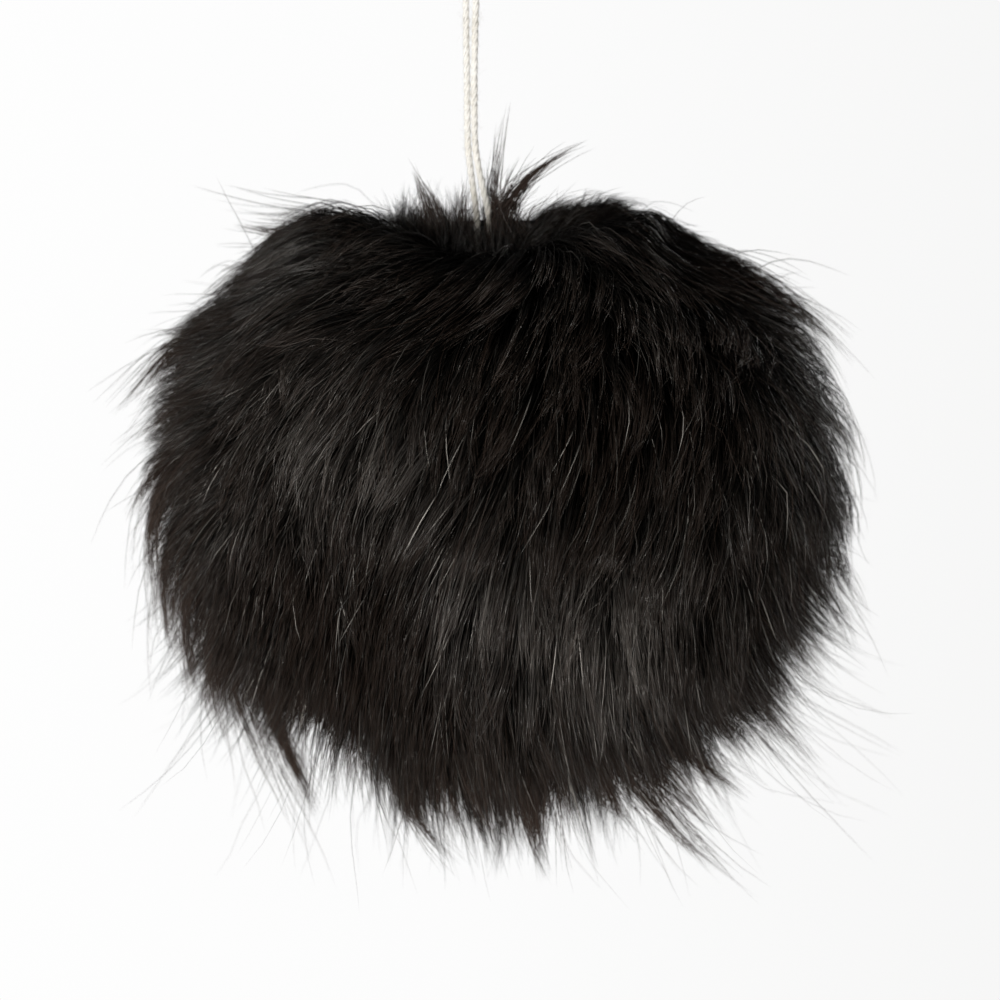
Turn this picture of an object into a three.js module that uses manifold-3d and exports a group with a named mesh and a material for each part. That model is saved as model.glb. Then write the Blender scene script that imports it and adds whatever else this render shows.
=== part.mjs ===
// Furry slip-on windscreen: a foam ball with a blind microphone socket, a rubber
// sleeve that grips the microphone, a long-pile fur cover sewn from four gores,
// and a doubled drawcord that draws the cover's mouth in around the sleeve's neck.
// Millimetres, +Z up out through the mouth, origin at the centre of the seat that
// the microphone's front end rests on. -Y is the front, +X the right.
import * as THREE from 'three';
import { mergeVertices } from 'three/addons/utils/BufferGeometryUtils.js';
import Module from 'manifold-3d';

const wasm = await Module();
wasm.setup();

// ---- shared dimensions ---------------------------------------------------------
const GAP = 0.3;                // working gap between neighbouring solids
const COVER_SEGMENTS = 40;      // facets round the fur and the hem
const CORE_SEGMENTS = 32;       // facets round the foam and the sleeve
const BALL_SPANS = 14;          // spans from pole to rim of a ball profile

// Foam ball
const FOAM_R = 35.4;
const FOAM_TOP_Z = 32.0;        // flat cut across the top
const SEAT_R = 10.3;            // blind end of the socket, where the microphone stops
const SOCKET_R = 10.6;          // socket just below the sleeve, a slight draft from SEAT_R
const SOCKET_OVERCUT = 4;       // how far the socket cutter runs above the foam

// Rubber sleeve
const SLEEVE_Z0 = 12.0;
const SLEEVE_R = 12.0;          // outside radius in the foam
const SLEEVE_BORE_R = 10.0;     // grips a 20 mm to 22 mm microphone body
const FLANGE_R = 15.2;          // flange let into the foam
const FLANGE_Z0 = 29.8;
const FLANGE_Z1 = 31.8;
const NECK_R = 11.4;            // the mouth hem draws in round this neck
const LIP_R = 12.4;             // lip that keeps the hem on the neck
const LIP_Z0 = 37.8;
const LIP_Z1 = 39.4;
const LIP_UNDERCUT = 0.3;       // rise of the lip's sloping underside
const LIP_CHAMFER = 0.4;
const BORE_FLARE_W = 0.6;       // flare at the top of the bore
const BORE_FLARE_H = 0.8;

// Fur cover
const FUR_INNER_R = 36.9;       // knitted backing of the fur
const MOUTH_R = 15.9;           // fur edge round the mouth
const MOUTH_CUT_Z = [20, 60];   // bottom and top of the mouth cutter
const FUR_EDGE_Z = 40.7;        // pile height right at the mouth
const FUR_BOTTOM_Z = -61.6;
const FUR_PROFILE = [           // [radius, z] of the outside of the pile, mouth to bottom
  [19.0, 41.9], [24.0, 43.0], [28.5, 42.5], [33.5, 39.9], [39.2, 35.4],
  [44.8, 30.6], [49.2, 25.8], [52.9, 20.6], [55.7, 15.0], [57.8, 8.8],
  [59.0, 2.4], [59.4, -4.2], [59.1, -11.0], [58.1, -17.8], [56.4, -24.6],
  [53.8, -31.2], [50.4, -37.6], [46.0, -43.6], [40.6, -49.0], [34.0, -53.6],
  [26.4, -57.2], [17.8, -59.7], [9.0, -61.1],
];
const PARTING_R = 17;           // shallow trough across the mouth, front to back
const PARTING_X = -2.0;
const PARTING_Z = 56.0;
const PARTING_LENGTH = 160;
const PARTING_SEGMENTS = 48;
const QUARTER_REACH = 120;      // gore cutter, out from the axis
const QUARTER_HEIGHT = 160;

// Seam thread, between the foam and the fur's backing
const SEAM_THREAD_R = 0.4;
const SEAM_PATH_R = 36.15;
const SEAM_TOP_DEG = 27.5;      // ends of the seam, measured down from +Z
const SEAM_BOTTOM_DEG = 176.4;

// Mouth hem
const HEM_R = 13.7;             // centre circle of the casing
const HEM_Z = 34.9;
const HEM_HALF_W = 1.8;
const HEM_HALF_H = 2.4;
const HEM_CHAMFER = 0.7;
const HEM_TUNNEL_R = 1.15;
const HEM_STITCH_HALF_W = 0.25;
const HEM_STITCH_H = 0.45;

// Drawcord
const CORD_R = 0.55;            // 1.1 mm twisted cotton cord
const CORD_SIDES = 8;
const EXIT_X = -2.3;            // where the doubled cord leaves the hem
const EXIT_Y = -13.6;
const EXIT_CUT_H = 4.0;
const RUN_START_DEG = -90 + 10; // run inside the hem, open round the front
const RUN_TURN_DEG = 360 - 39;
const LEG_STATIONS = [          // [z, x of the left leg, x of the right leg]
  [36.0, -3.3, -1.2], [42.0, -3.6, -1.5], [44.8, -3.95, -2.2],
  [48.8, -4.55, -3.15], [52.8, -5.15, -3.9], [63.4, -5.15, -3.9],
  [73.3, -5.3, -3.8], [82.0, -5.4, -3.4], [86.6, -5.6, -3.2],
];
const LEG_COLUMN = { left: 1, right: 2 };
const STATION_CLEARANCE = 1;    // stations this near the end of a length are skipped
const LEAN_SIDE_Z = 45.0;       // hinge heights along the cord
const LEAN_FRONT_Z = 51.0;
const BEND_Z = 69.0;
const CUT_SIDE = 1.8;           // room under each hinge for the legs above to swing down
const CUT_FRONT = 0.9;
const CUT_BEND = 1.3;
const ABOVE_HINGE = 0.2;

// Knot and tails
const KNOT_R = 2.3;
const KNOT_X = -4.4;
const KNOT_Z = 88.8;
const KNOT_SEAT_R = 0.5;        // small flat under the knot, between the legs, for a hook
const KNOT_SPANS = 9;           // spans from pole to pole
const KNOT_SEGMENTS = 16;
const KNOT_FULLNESS = 0.96;     // mean width of the knot, as a share of a ball's
const KNOT_RIPPLE = 0.07;       // swell and waist added to that share
const LEG_KNOT_GAP = 0.25;
const TAIL_TOP_Z = 98.0;

// ---- materials -----------------------------------------------------------------
const FUR = new THREE.MeshStandardMaterial({ color: 0x14110e, roughness: 0.62 });
const FOAM = new THREE.MeshStandardMaterial({ color: 0x2b2b2d, roughness: 0.95 });
const RUBBER = new THREE.MeshStandardMaterial({ color: 0x1b1b1c, roughness: 0.7 });
const TAPE = new THREE.MeshStandardMaterial({ color: 0x1c1a19, roughness: 0.9 });
const THREAD = new THREE.MeshStandardMaterial({ color: 0x2a2725, roughness: 0.75 });
const COTTON = new THREE.MeshStandardMaterial({ color: 0xe6dfd0, roughness: 0.92 });

// ---- helpers -------------------------------------------------------------------
const { degToRad } = THREE.MathUtils;
const WELD_TOLERANCE = 1e-4;

// Only positions are kept, so that vertices weld across creases into a closed solid.
function toManifold(geometry) {
  let welded = geometry.index ? geometry.toNonIndexed() : geometry;
  for (const name of Object.keys(welded.attributes)) {
    if (name !== 'position') welded.deleteAttribute(name);
  }
  welded = mergeVertices(welded, WELD_TOLERANCE);
  return new wasm.Manifold(new wasm.Mesh({
    numProp: 3,
    vertProperties: new Float32Array(welded.attributes.position.array),
    triVerts: new Uint32Array(welded.index.array),
  }));
}

function fromManifold(solid) {
  const { vertProperties, triVerts } = solid.getMesh();
  const geometry = new THREE.BufferGeometry();
  geometry.setAttribute('position',
    new THREE.BufferAttribute(new Float32Array(vertProperties), 3));
  geometry.setIndex(new THREE.BufferAttribute(new Uint32Array(triVerts), 1));
  geometry.computeVertexNormals();
  return geometry;
}

const vectors2 = (points) => points.map(([x, y]) => new THREE.Vector2(x, y));

// Solid of revolution about Z from [radius, z] points that start and end on the axis.
// The points run upwards on the outside, so that the faces point outwards.
function revolve(points, segments = COVER_SEGMENTS) {
  const geometry = new THREE.LatheGeometry(vectors2(points), segments);
  geometry.rotateX(Math.PI / 2);
  return toManifold(geometry);
}

// Ring of revolution from an outline clear of the axis, in the same sense.
function ring(points, segments) {
  return revolve([...points, points[0]], segments);
}

function closedShape(points) {
  const shape = new THREE.Shape(vectors2(points));
  shape.closePath();
  return shape;
}

function circlePoints(radius, sides, centreX = 0, centreY = 0) {
  return Array.from({ length: sides }, (_, i) => {
    const angle = (i / sides) * Math.PI * 2;
    return [centreX + Math.cos(angle) * radius, centreY + Math.sin(angle) * radius];
  });
}

// Points at even fractions from 0 to 1, both ends included.
function along(spans, pointAt) {
  return Array.from({ length: spans + 1 }, (_, i) => pointAt(i / spans));
}

// [radius, z] points up a ball from its lower pole to an angle measured from +Z.
function ballProfile(radius, topAngle) {
  const arc = along(BALL_SPANS, (t) => {
    const angle = Math.PI - (Math.PI - topAngle) * t;
    return [Math.sin(angle) * radius, Math.cos(angle) * radius];
  });
  return [[0, -radius], ...arc.slice(1)];
}

// A round rod along a smooth curve through the path's points.
function rod({ path, radius = CORD_R, steps, sides = CORD_SIDES }) {
  const curve = new THREE.CatmullRomCurve3(path.map((point) => new THREE.Vector3(...point)));
  return toManifold(new THREE.ExtrudeGeometry(closedShape(circlePoints(radius, sides)), {
    steps,
    extrudePath: curve,
    bevelEnabled: false,
  }));
}

const group = new THREE.Group();

function add(name, solid, material) {
  const mesh = new THREE.Mesh(fromManifold(solid), material);
  mesh.name = name;
  group.add(mesh);
  return mesh;
}

// ---- foam core -----------------------------------------------------------------
function foamCore() {
  const ball = [...ballProfile(FOAM_R, Math.acos(FOAM_TOP_Z / FOAM_R)), [0, FOAM_TOP_Z]];
  const cutTopZ = FOAM_TOP_Z + SOCKET_OVERCUT;
  const socket = [
    [0, 0], [SEAT_R, 0], [SOCKET_R, SLEEVE_Z0 - GAP], [SLEEVE_R + GAP, SLEEVE_Z0 - GAP],
    [SLEEVE_R + GAP, FLANGE_Z0 - GAP], [FLANGE_R + GAP, FLANGE_Z0 - GAP],
    [FLANGE_R + GAP, cutTopZ], [0, cutTopZ],
  ];
  return revolve(ball, CORE_SEGMENTS).subtract(revolve(socket, CORE_SEGMENTS));
}
add('foam_core', foamCore(), FOAM);

// ---- rubber sleeve that grips the microphone -----------------------------------
add('mic_sleeve', ring([
  [SLEEVE_BORE_R, SLEEVE_Z0], [SLEEVE_R, SLEEVE_Z0], [SLEEVE_R, FLANGE_Z0],
  [FLANGE_R, FLANGE_Z0], [FLANGE_R, FLANGE_Z1], [NECK_R, FLANGE_Z1],
  [NECK_R, LIP_Z0], [LIP_R, LIP_Z0 + LIP_UNDERCUT],
  [LIP_R, LIP_Z1 - LIP_CHAMFER], [LIP_R - LIP_CHAMFER, LIP_Z1],
  [SLEEVE_BORE_R + BORE_FLARE_W, LIP_Z1], [SLEEVE_BORE_R, LIP_Z1 - BORE_FLARE_H],
], CORE_SEGMENTS), RUBBER);

// ---- fur cover: four sewn gores ------------------------------------------------
// The trough of the parting: a drum that lies front to back.
function partingCutter() {
  const drum = new THREE.CylinderGeometry(
    PARTING_R, PARTING_R, PARTING_LENGTH, PARTING_SEGMENTS);
  drum.translate(PARTING_X, 0, PARTING_Z);
  return toManifold(drum);
}

function furShell() {
  const outside = [
    [0, FUR_BOTTOM_Z], ...[...FUR_PROFILE].reverse(), [MOUTH_R, FUR_EDGE_Z], [0, FUR_EDGE_Z],
  ];
  const [cutZ0, cutZ1] = MOUTH_CUT_Z;
  return revolve(outside)
    .subtract(revolve(ballProfile(FUR_INNER_R, 0)))
    .subtract(revolve([[0, cutZ0], [MOUTH_R, cutZ0], [MOUTH_R, cutZ1], [0, cutZ1]]))
    .subtract(partingCutter());
}

// The quarter anticlockwise of the given angle, kept half a gap back from both seams.
function quarter(startDeg) {
  const near = GAP / 2;
  const far = QUARTER_REACH;
  const prism = new THREE.ExtrudeGeometry(
    closedShape([[near, near], [far, near], [far, far], [near, far]]),
    { depth: QUARTER_HEIGHT, bevelEnabled: false });
  prism.translate(0, 0, -QUARTER_HEIGHT / 2);
  prism.rotateZ(degToRad(startDeg));
  return toManifold(prism);
}

const shell = furShell();
for (const [side, startDeg] of [['right', -45], ['back', 45], ['left', 135], ['front', 225]]) {
  add(`fur_gore_${side}`, shell.intersect(quarter(startDeg)), FUR);
}

// ---- seam stitching: one run of thread inside each seam of the cover -----------
function seamThread(seamDeg) {
  const around = degToRad(seamDeg);
  const path = along(12, (t) => {
    const down = degToRad(SEAM_TOP_DEG + (SEAM_BOTTOM_DEG - SEAM_TOP_DEG) * t);
    const r = Math.sin(down) * SEAM_PATH_R;
    return [Math.cos(around) * r, Math.sin(around) * r, Math.cos(down) * SEAM_PATH_R];
  });
  return rod({ path, radius: SEAM_THREAD_R, steps: 18, sides: 6 });
}
add('seam_front_right', seamThread(-45), THREAD);
add('seam_back_right', seamThread(45), THREAD);
add('seam_back_left', seamThread(135), THREAD);
add('seam_front_left', seamThread(225), THREAD);

// ---- mouth hem: a casing of folded tape for the drawcord -----------------------
const HEM_TOP_Z = HEM_Z + HEM_HALF_H;

// Block that opens the hem where the cord leaves it.
function exitCutter({ width, depth, z }) {
  const block = new THREE.BoxGeometry(width, depth, EXIT_CUT_H);
  block.translate(EXIT_X, EXIT_Y, z);
  return toManifold(block);
}

function mouthHem() {
  const inner = HEM_R - HEM_HALF_W;
  const outer = HEM_R + HEM_HALF_W;
  const bottom = HEM_Z - HEM_HALF_H;
  const chamfer = HEM_CHAMFER;
  const casing = ring([
    [inner, bottom + chamfer], [inner + chamfer, bottom],
    [outer - chamfer, bottom], [outer, bottom + chamfer],
    [outer, HEM_TOP_Z - chamfer], [outer - chamfer, HEM_TOP_Z],
    [inner + chamfer, HEM_TOP_Z], [inner, HEM_TOP_Z - chamfer],
  ]);
  const buttonhole = exitCutter({ width: 4.6, depth: 2.1, z: HEM_Z + EXIT_CUT_H / 2 });
  return casing
    .subtract(ring(circlePoints(HEM_TUNNEL_R, 10, HEM_R, HEM_Z)))
    .subtract(buttonhole);
}
add('mouth_hem', mouthHem(), TAPE);

// Thread along the casing's top edge, open at the buttonhole.
function hemStitching() {
  const inner = HEM_R - HEM_STITCH_HALF_W;
  const outer = HEM_R + HEM_STITCH_HALF_W;
  const z0 = HEM_TOP_Z + GAP;
  const z1 = z0 + HEM_STITCH_H;
  return ring([[inner, z0], [outer, z0], [outer, z1], [inner, z1]])
    .subtract(exitCutter({ width: 6.4, depth: 4.0, z: HEM_TOP_Z + 0.5 }));
}
add('hem_stitching', hemStitching(), THREAD);

// ---- drawcord ------------------------------------------------------------------
// The run inside the casing, open at the buttonhole where both legs turn up.
const runPath = along(24, (t) => {
  const angle = degToRad(RUN_START_DEG + RUN_TURN_DEG * t);
  return [Math.cos(angle) * HEM_R, Math.sin(angle) * HEM_R, HEM_Z];
});
add('drawcord_in_hem', rod({ path: runPath, steps: 36 }), COTTON);

// Leg x at a height; below the first station the first span is carried on down.
function legX(column, z) {
  const upper = LEG_STATIONS.findIndex(([stationZ], i) => i > 0 && z <= stationZ);
  const from = LEG_STATIONS[upper - 1];
  const to = LEG_STATIONS[upper];
  return from[column] + (to[column] - from[column]) * ((z - from[0]) / (to[0] - from[0]));
}

// One length of a leg, square cut at both ends.
function legPart(column, z0, z1, steps) {
  const stations = LEG_STATIONS.map(([z]) => z)
    .filter((z) => z > z0 + STATION_CLEARANCE && z < z1 - STATION_CLEARANCE);
  const path = [z0, ...stations, z1].map((z) => [legX(column, z), EXIT_Y, z]);
  return rod({ path, steps });
}

const LEG_PARTS = [             // [name, bottom z, top z, steps]
  ['root', HEM_Z, LEAN_SIDE_Z - CUT_SIDE, 6],
  ['low', LEAN_SIDE_Z + ABOVE_HINGE, LEAN_FRONT_Z - CUT_FRONT, 3],
  ['middle', LEAN_FRONT_Z + ABOVE_HINGE, BEND_Z - CUT_BEND, 6],
  ['top', BEND_Z + ABOVE_HINGE, KNOT_Z - KNOT_R - LEG_KNOT_GAP, 6],
];
for (const [side, column] of Object.entries(LEG_COLUMN)) {
  for (const [part, z0, z1, steps] of LEG_PARTS) {
    add(`cord_${side}_${part}`, legPart(column, z0, z1, steps), COTTON);
  }
}

// Overhand knot that joins the two ends, built on the Z axis.
function knotSolid() {
  const profile = [[0, KNOT_Z - KNOT_R], [KNOT_SEAT_R, KNOT_Z - KNOT_R]];
  for (let i = 2; i < KNOT_SPANS; i++) {
    const angle = Math.PI - Math.PI * (i / KNOT_SPANS);
    const swell = KNOT_FULLNESS + KNOT_RIPPLE * Math.cos(angle * 4);
    profile.push([Math.sin(angle) * KNOT_R * swell, KNOT_Z + Math.cos(angle) * KNOT_R]);
  }
  profile.push([0, KNOT_Z + KNOT_R]);
  return revolve(profile, KNOT_SEGMENTS);
}
add('cord_knot', knotSolid(), COTTON).position.set(KNOT_X, EXIT_Y, 0);

// The two cut tails that leave the knot's top.
const TAIL_Z0 = KNOT_Z + KNOT_R + GAP;
const TAILS = {                 // [x from the knot, y from the knot, z]
  left: [[-0.8, 0, TAIL_Z0], [-1.3, 0, TAIL_Z0 + 2.5], [-2.4, -0.3, TAIL_TOP_Z - 1.5]],
  right: [[0.8, 0, TAIL_Z0], [1.3, 0, TAIL_Z0 + 3], [1.7, 0.4, TAIL_TOP_Z]],
};
for (const [side, points] of Object.entries(TAILS)) {
  const path = points.map(([x, y, z]) => [KNOT_X + x, EXIT_Y + y, z]);
  add(`cord_tail_${side}`, rod({ path, steps: 5 }), COTTON);
}

export default group;
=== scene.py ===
"""A round furry windscreen for a microphone, with a knotted drawcord at its mouth.

The ball's centre is the origin. The mouth faces up (+Z), the front is -Y and the right is +X.
Shapes are worked out in millimetres and become metres in new_mesh. Polar angles are measured
from +Z, and angles around the ball from +X towards +Y.
"""

import bpy
import itertools
import math
import numpy as np
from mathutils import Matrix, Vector, kdtree


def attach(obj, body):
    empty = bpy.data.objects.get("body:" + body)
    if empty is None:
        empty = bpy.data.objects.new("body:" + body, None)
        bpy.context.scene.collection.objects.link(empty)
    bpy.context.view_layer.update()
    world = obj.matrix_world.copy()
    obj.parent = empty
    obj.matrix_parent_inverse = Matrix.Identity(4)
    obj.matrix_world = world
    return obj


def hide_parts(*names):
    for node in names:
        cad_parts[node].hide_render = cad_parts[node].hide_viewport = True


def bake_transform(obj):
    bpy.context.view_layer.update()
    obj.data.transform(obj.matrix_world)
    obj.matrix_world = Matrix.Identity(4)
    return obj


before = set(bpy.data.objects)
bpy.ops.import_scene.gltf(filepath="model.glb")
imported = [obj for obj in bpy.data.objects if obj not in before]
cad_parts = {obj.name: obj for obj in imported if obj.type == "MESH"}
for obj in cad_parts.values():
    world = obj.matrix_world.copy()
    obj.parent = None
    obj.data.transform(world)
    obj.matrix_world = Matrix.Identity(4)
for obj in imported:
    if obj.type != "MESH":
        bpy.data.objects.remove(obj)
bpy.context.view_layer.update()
THIN = 1.0

MM_TO_M = 0.001
ROOT = "windscreen"
BACK_R = 37.55          # outside of the knitted backing, from which the pile grows
BACK_INNER_R = 36.95
MOUTH_ANGLE = 25.6      # polar angle of the pile's upper edge, degrees
HEM_R, HEM_Z = 13.7, 34.9               # middle of the hem casing
EXIT_X, EXIT_Y = -2.3, -13.6            # where the drawcord leaves the casing
GORE_SPAN = 90
GORES = {"front": -135, "right": -45, "back": 45, "left": 135}      # starting angle, degrees

# ---------------------------------------------------------------- numbers and meshes


def unit(vectors):
    return vectors / np.maximum(np.linalg.norm(vectors, axis=-1, keepdims=True), 1e-12)


def ease(x, start, end):
    """0 up to start, 1 from end on, and a smooth step between."""
    part = np.clip((x - start) / (end - start), 0, 1)
    return part * part * (3 - 2 * part)


def look_up(table, x):
    """Straight-line reading of a table of (x, value) pairs."""
    return np.interp(x, *np.transpose(table))


def wave_noise(seed, frequency, waves=16):
    """Smooth noise of unit spread over 3-D points, from a few plane waves."""
    rng = np.random.default_rng(seed)
    direction = unit(rng.normal(size=(waves, 3))) * frequency * rng.uniform(0.55, 1.45, (waves, 1))
    phase = rng.uniform(0, 2 * np.pi, waves)
    weight = rng.uniform(0.5, 1.0, waves)
    weight /= math.sqrt((weight ** 2).sum() / 2)
    return lambda points: np.sin(points @ direction.T + phase) @ weight


def on_sphere(polar, around):
    """Unit vectors at polar and around angles, in radians."""
    return np.stack(np.broadcast_arrays(
        np.sin(polar) * np.cos(around), np.sin(polar) * np.sin(around), np.cos(polar)), -1)


def tangents(paths):
    return unit(np.gradient(paths, axis=-2))


def carried_normals(start, tangent):
    """Normals along paths with the given tangents, turning as little as they can from start."""
    normals = np.empty_like(tangent)
    side = start
    for k in range(tangent.shape[-2]):
        ahead = tangent[..., k, :]
        side = unit(side - (side * ahead).sum(-1, keepdims=True) * ahead)
        normals[..., k, :] = side
    return normals


def at_steps(paths, rows, steps):
    """Points of paths[rows] at fractional step numbers."""
    i = np.minimum(steps.astype(int), paths.shape[1] - 2)
    part = (steps - i)[..., None]
    rows = rows[:, None]
    return paths[rows, i] * (1 - part) + paths[rows, i + 1] * part


def grid_quads(rows, columns, wrap_rows=False, wrap_columns=False):
    """Corners of the quads in a grid of points, as (rows, columns, 4)."""
    index = np.arange(rows * columns).reshape(rows, columns)
    if wrap_rows:
        index = np.vstack([index, index[:1]])
    if wrap_columns:
        index = np.hstack([index, index[:, :1]])
    return np.stack([index[:-1, :-1], index[1:, :-1], index[1:, 1:], index[:-1, 1:]], -1)


def tube_quads(rings, sides):
    return grid_quads(rings, sides, wrap_columns=True)[..., [0, 3, 2, 1]].reshape(-1, 4)


def new_mesh(name, points, corners, sizes=None, smooth_faces=True):
    """A mesh from points in mm. corners is an (n, k) array of faces, or a flat list of corners
    with the number of corners of each face in sizes."""
    if sizes is None:
        sizes = np.full(len(corners), corners.shape[1])
    corners = np.asarray(corners, np.int32).ravel()
    sizes = np.asarray(sizes, np.int32)
    mesh = bpy.data.meshes.new(name)
    mesh.vertices.add(len(points))
    mesh.vertices.foreach_set("co", (np.asarray(points, np.float32) * MM_TO_M).ravel())
    mesh.loops.add(len(corners))
    mesh.loops.foreach_set("vertex_index", corners)
    mesh.polygons.add(len(sizes))
    starts = np.concatenate([[0], np.cumsum(sizes)[:-1]]).astype(np.int32)
    mesh.polygons.foreach_set("loop_start", starts)
    mesh.polygons.foreach_set("loop_total", sizes)
    mesh.polygons.foreach_set("use_smooth", np.full(len(sizes), smooth_faces, bool))
    mesh.update(calc_edges=True)
    return mesh


def new_object(mesh, surface, slot, replaces=(), body=ROOT, blend=None):
    """An object named after its mesh, which rides on one body; with blend, its place is baked into
    its mesh and it rides on no body.
    """
    made = bpy.data.objects.new(mesh.name, mesh)
    bpy.context.scene.collection.objects.link(made)
    mesh.materials.append(surface)
    if blend:
        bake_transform(made)
    else:
        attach(made, body)
    if replaces:
        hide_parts(*replaces)


# ---------------------------------------------------------------- shader tools


def feed(target, key, value):
    """Links value to an input if it is a socket, and sets it as the input's value otherwise."""
    if isinstance(value, bpy.types.NodeSocket):
        target.id_data.links.new(value, target.inputs[key])
    else:
        target.inputs[key].default_value = value


def node(tree, kind, *by_index, **by_name):
    """A shader node. Named values are inputs or properties; the rest are inputs in order."""
    made = tree.nodes.new(kind)
    for name, value in by_name.items():
        if name in made.inputs:
            feed(made, name, value)
        else:
            setattr(made, name, value)
    for index, value in enumerate(by_index):
        feed(made, index, value)
    return made


def ramp(factor, stops):
    """Colour ramp output. Stops are (position, colour) or (position, grey)."""
    made = node(factor.id_data, "ShaderNodeValToRGB", factor)
    elements = made.color_ramp.elements
    while len(elements) < len(stops):
        elements.new(0.5)
    for element, (position, colour) in zip(elements, stops):
        element.position = position
        element.color = (*(colour if np.ndim(colour) else (colour,) * 3), 1.0)
    return made.outputs[0]


def multiply(first, second):
    mixed = node(first.id_data, "ShaderNodeMix", data_type="RGBA", blend_type="MULTIPLY",
                 Factor=1.0, A=first, B=second)
    return mixed.outputs["Result"]


def bump(bsdf, height, strength, distance):
    made = node(bsdf.id_data, "ShaderNodeBump", Height=height, Strength=strength,
                Distance=distance)
    feed(bsdf, "Normal", made.outputs[0])


def object_place(tree):
    return node(tree, "ShaderNodeTexCoord").outputs["Object"]


def noise(place, scale, detail):
    return node(place.id_data, "ShaderNodeTexNoise", Vector=place, Scale=scale,
                Detail=detail).outputs["Fac"]


def principled(name, roughness, specular):
    made = bpy.data.materials.new(name)
    made.use_nodes = True
    bsdf = made.node_tree.nodes["Principled BSDF"]
    feed(bsdf, "Roughness", roughness)
    feed(bsdf, "Specular IOR Level", specular)
    return made, made.node_tree, bsdf


# ---------------------------------------------------------------- materials

BANDS = 128             # tone bands across the strands' UV map

# Brightness from root (0) to tip (1). On the guard hairs the bright middle stretch is a painted
# glint.
PILE_SHADE = [(0.0, 0.22), (0.40, 0.75), (0.75, 1.0), (1.0, 1.15)]
GUARD_PAINTED_GLINT = [(0.0, 0.03), (0.50, 0.05), (0.60, 1.0), (0.77, 1.0), (0.86, 0.12), (1.0, 0.05)]
# Colour from the darkest strands (0) to the palest (1); the guard hairs' pale end sets the
# brightness of their painted glints.
PILE_TONES = [
    (0.0, (0.0014, 0.0013, 0.0011)), (0.40, (0.0052, 0.0047, 0.0041)),
    (0.66, (0.0125, 0.0112, 0.0098)), (0.86, (0.034, 0.0305, 0.027)),
    (1.0, (0.092, 0.084, 0.075)),
]
GUARD_GLINT_TONES = [(0.0, (0.03, 0.0275, 0.024)), (0.6, (0.105, 0.096, 0.085)),
               (1.0, (0.46, 0.43, 0.39))]


def hair_material(name, tones, shine, tip, tip_from, roughness, shade=PILE_SHADE):
    """U picks the strand's own colour and shine; V runs from its dark root to its tip colour,
    which is painted light shining through the tips.
    """
    made, tree, bsdf = principled(name, roughness, specular=0.4)
    uv_map = node(tree, "ShaderNodeUVMap", uv_map="OFBake")
    split = node(tree, "ShaderNodeSeparateXYZ", uv_map.outputs["UV"])
    own, along = split.outputs["X"], split.outputs["Y"]
    shaded = multiply(ramp(own, tones), ramp(along, shade))
    # the tip colour is painted light: browner, paler tips stand in for light shining through them
    tip_part = ramp(along, [(0.0, 0), (tip_from, 0), (1.0, 0.8)])
    tipped = node(tree, "ShaderNodeMix", data_type="RGBA", Factor=tip_part, A=shaded,
                  B=(*tip, 1))
    feed(bsdf, "Base Color", tipped.outputs["Result"])
    feed(bsdf, "Specular IOR Level", ramp(own, shine))
    feed(bsdf, "Specular Tint", (1.0, 0.98, 0.945, 1))
    return made


def mottled(name, dark, light, roughness, scale, bump_scale, strength, distance, cells=False):
    """Cloudy colour between dark and light, with a bump of fine noise or of round cells."""
    made, tree, bsdf = principled(name, roughness, specular=0.4)
    clouds = noise(object_place(tree), scale, detail=5.0)
    feed(bsdf, "Base Color", ramp(clouds, [(0.32, dark), (0.68, light)]))
    place = object_place(tree)
    if cells:
        height = node(tree, "ShaderNodeTexVoronoi", Vector=place,
                      Scale=bump_scale).outputs["Distance"]
    else:
        height = noise(place, bump_scale, detail=4.0)
    bump(bsdf, height, strength, distance)
    return made


def tape_material():
    """Woven tape: fine rings crossed by fine bands."""
    made, tree, bsdf = principled("hem_tape", roughness=0.85, specular=0.3)
    place = object_place(tree)
    rings = node(tree, "ShaderNodeTexWave", wave_type="RINGS", rings_direction="Z",
                 Vector=place, Scale=420.0)
    bands = node(tree, "ShaderNodeTexWave", wave_type="BANDS", bands_direction="Z",
                 Vector=place, Scale=420.0)
    weave = node(tree, "ShaderNodeMath", rings.outputs["Fac"], bands.outputs["Fac"],
                 operation="MAXIMUM").outputs[0]
    feed(bsdf, "Base Color", ramp(weave, [(0.2, (0.006, 0.0055, 0.005)),
                                          (0.9, (0.028, 0.026, 0.024))]))
    bump(bsdf, weave, strength=0.7, distance=0.0002)
    return made


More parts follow.
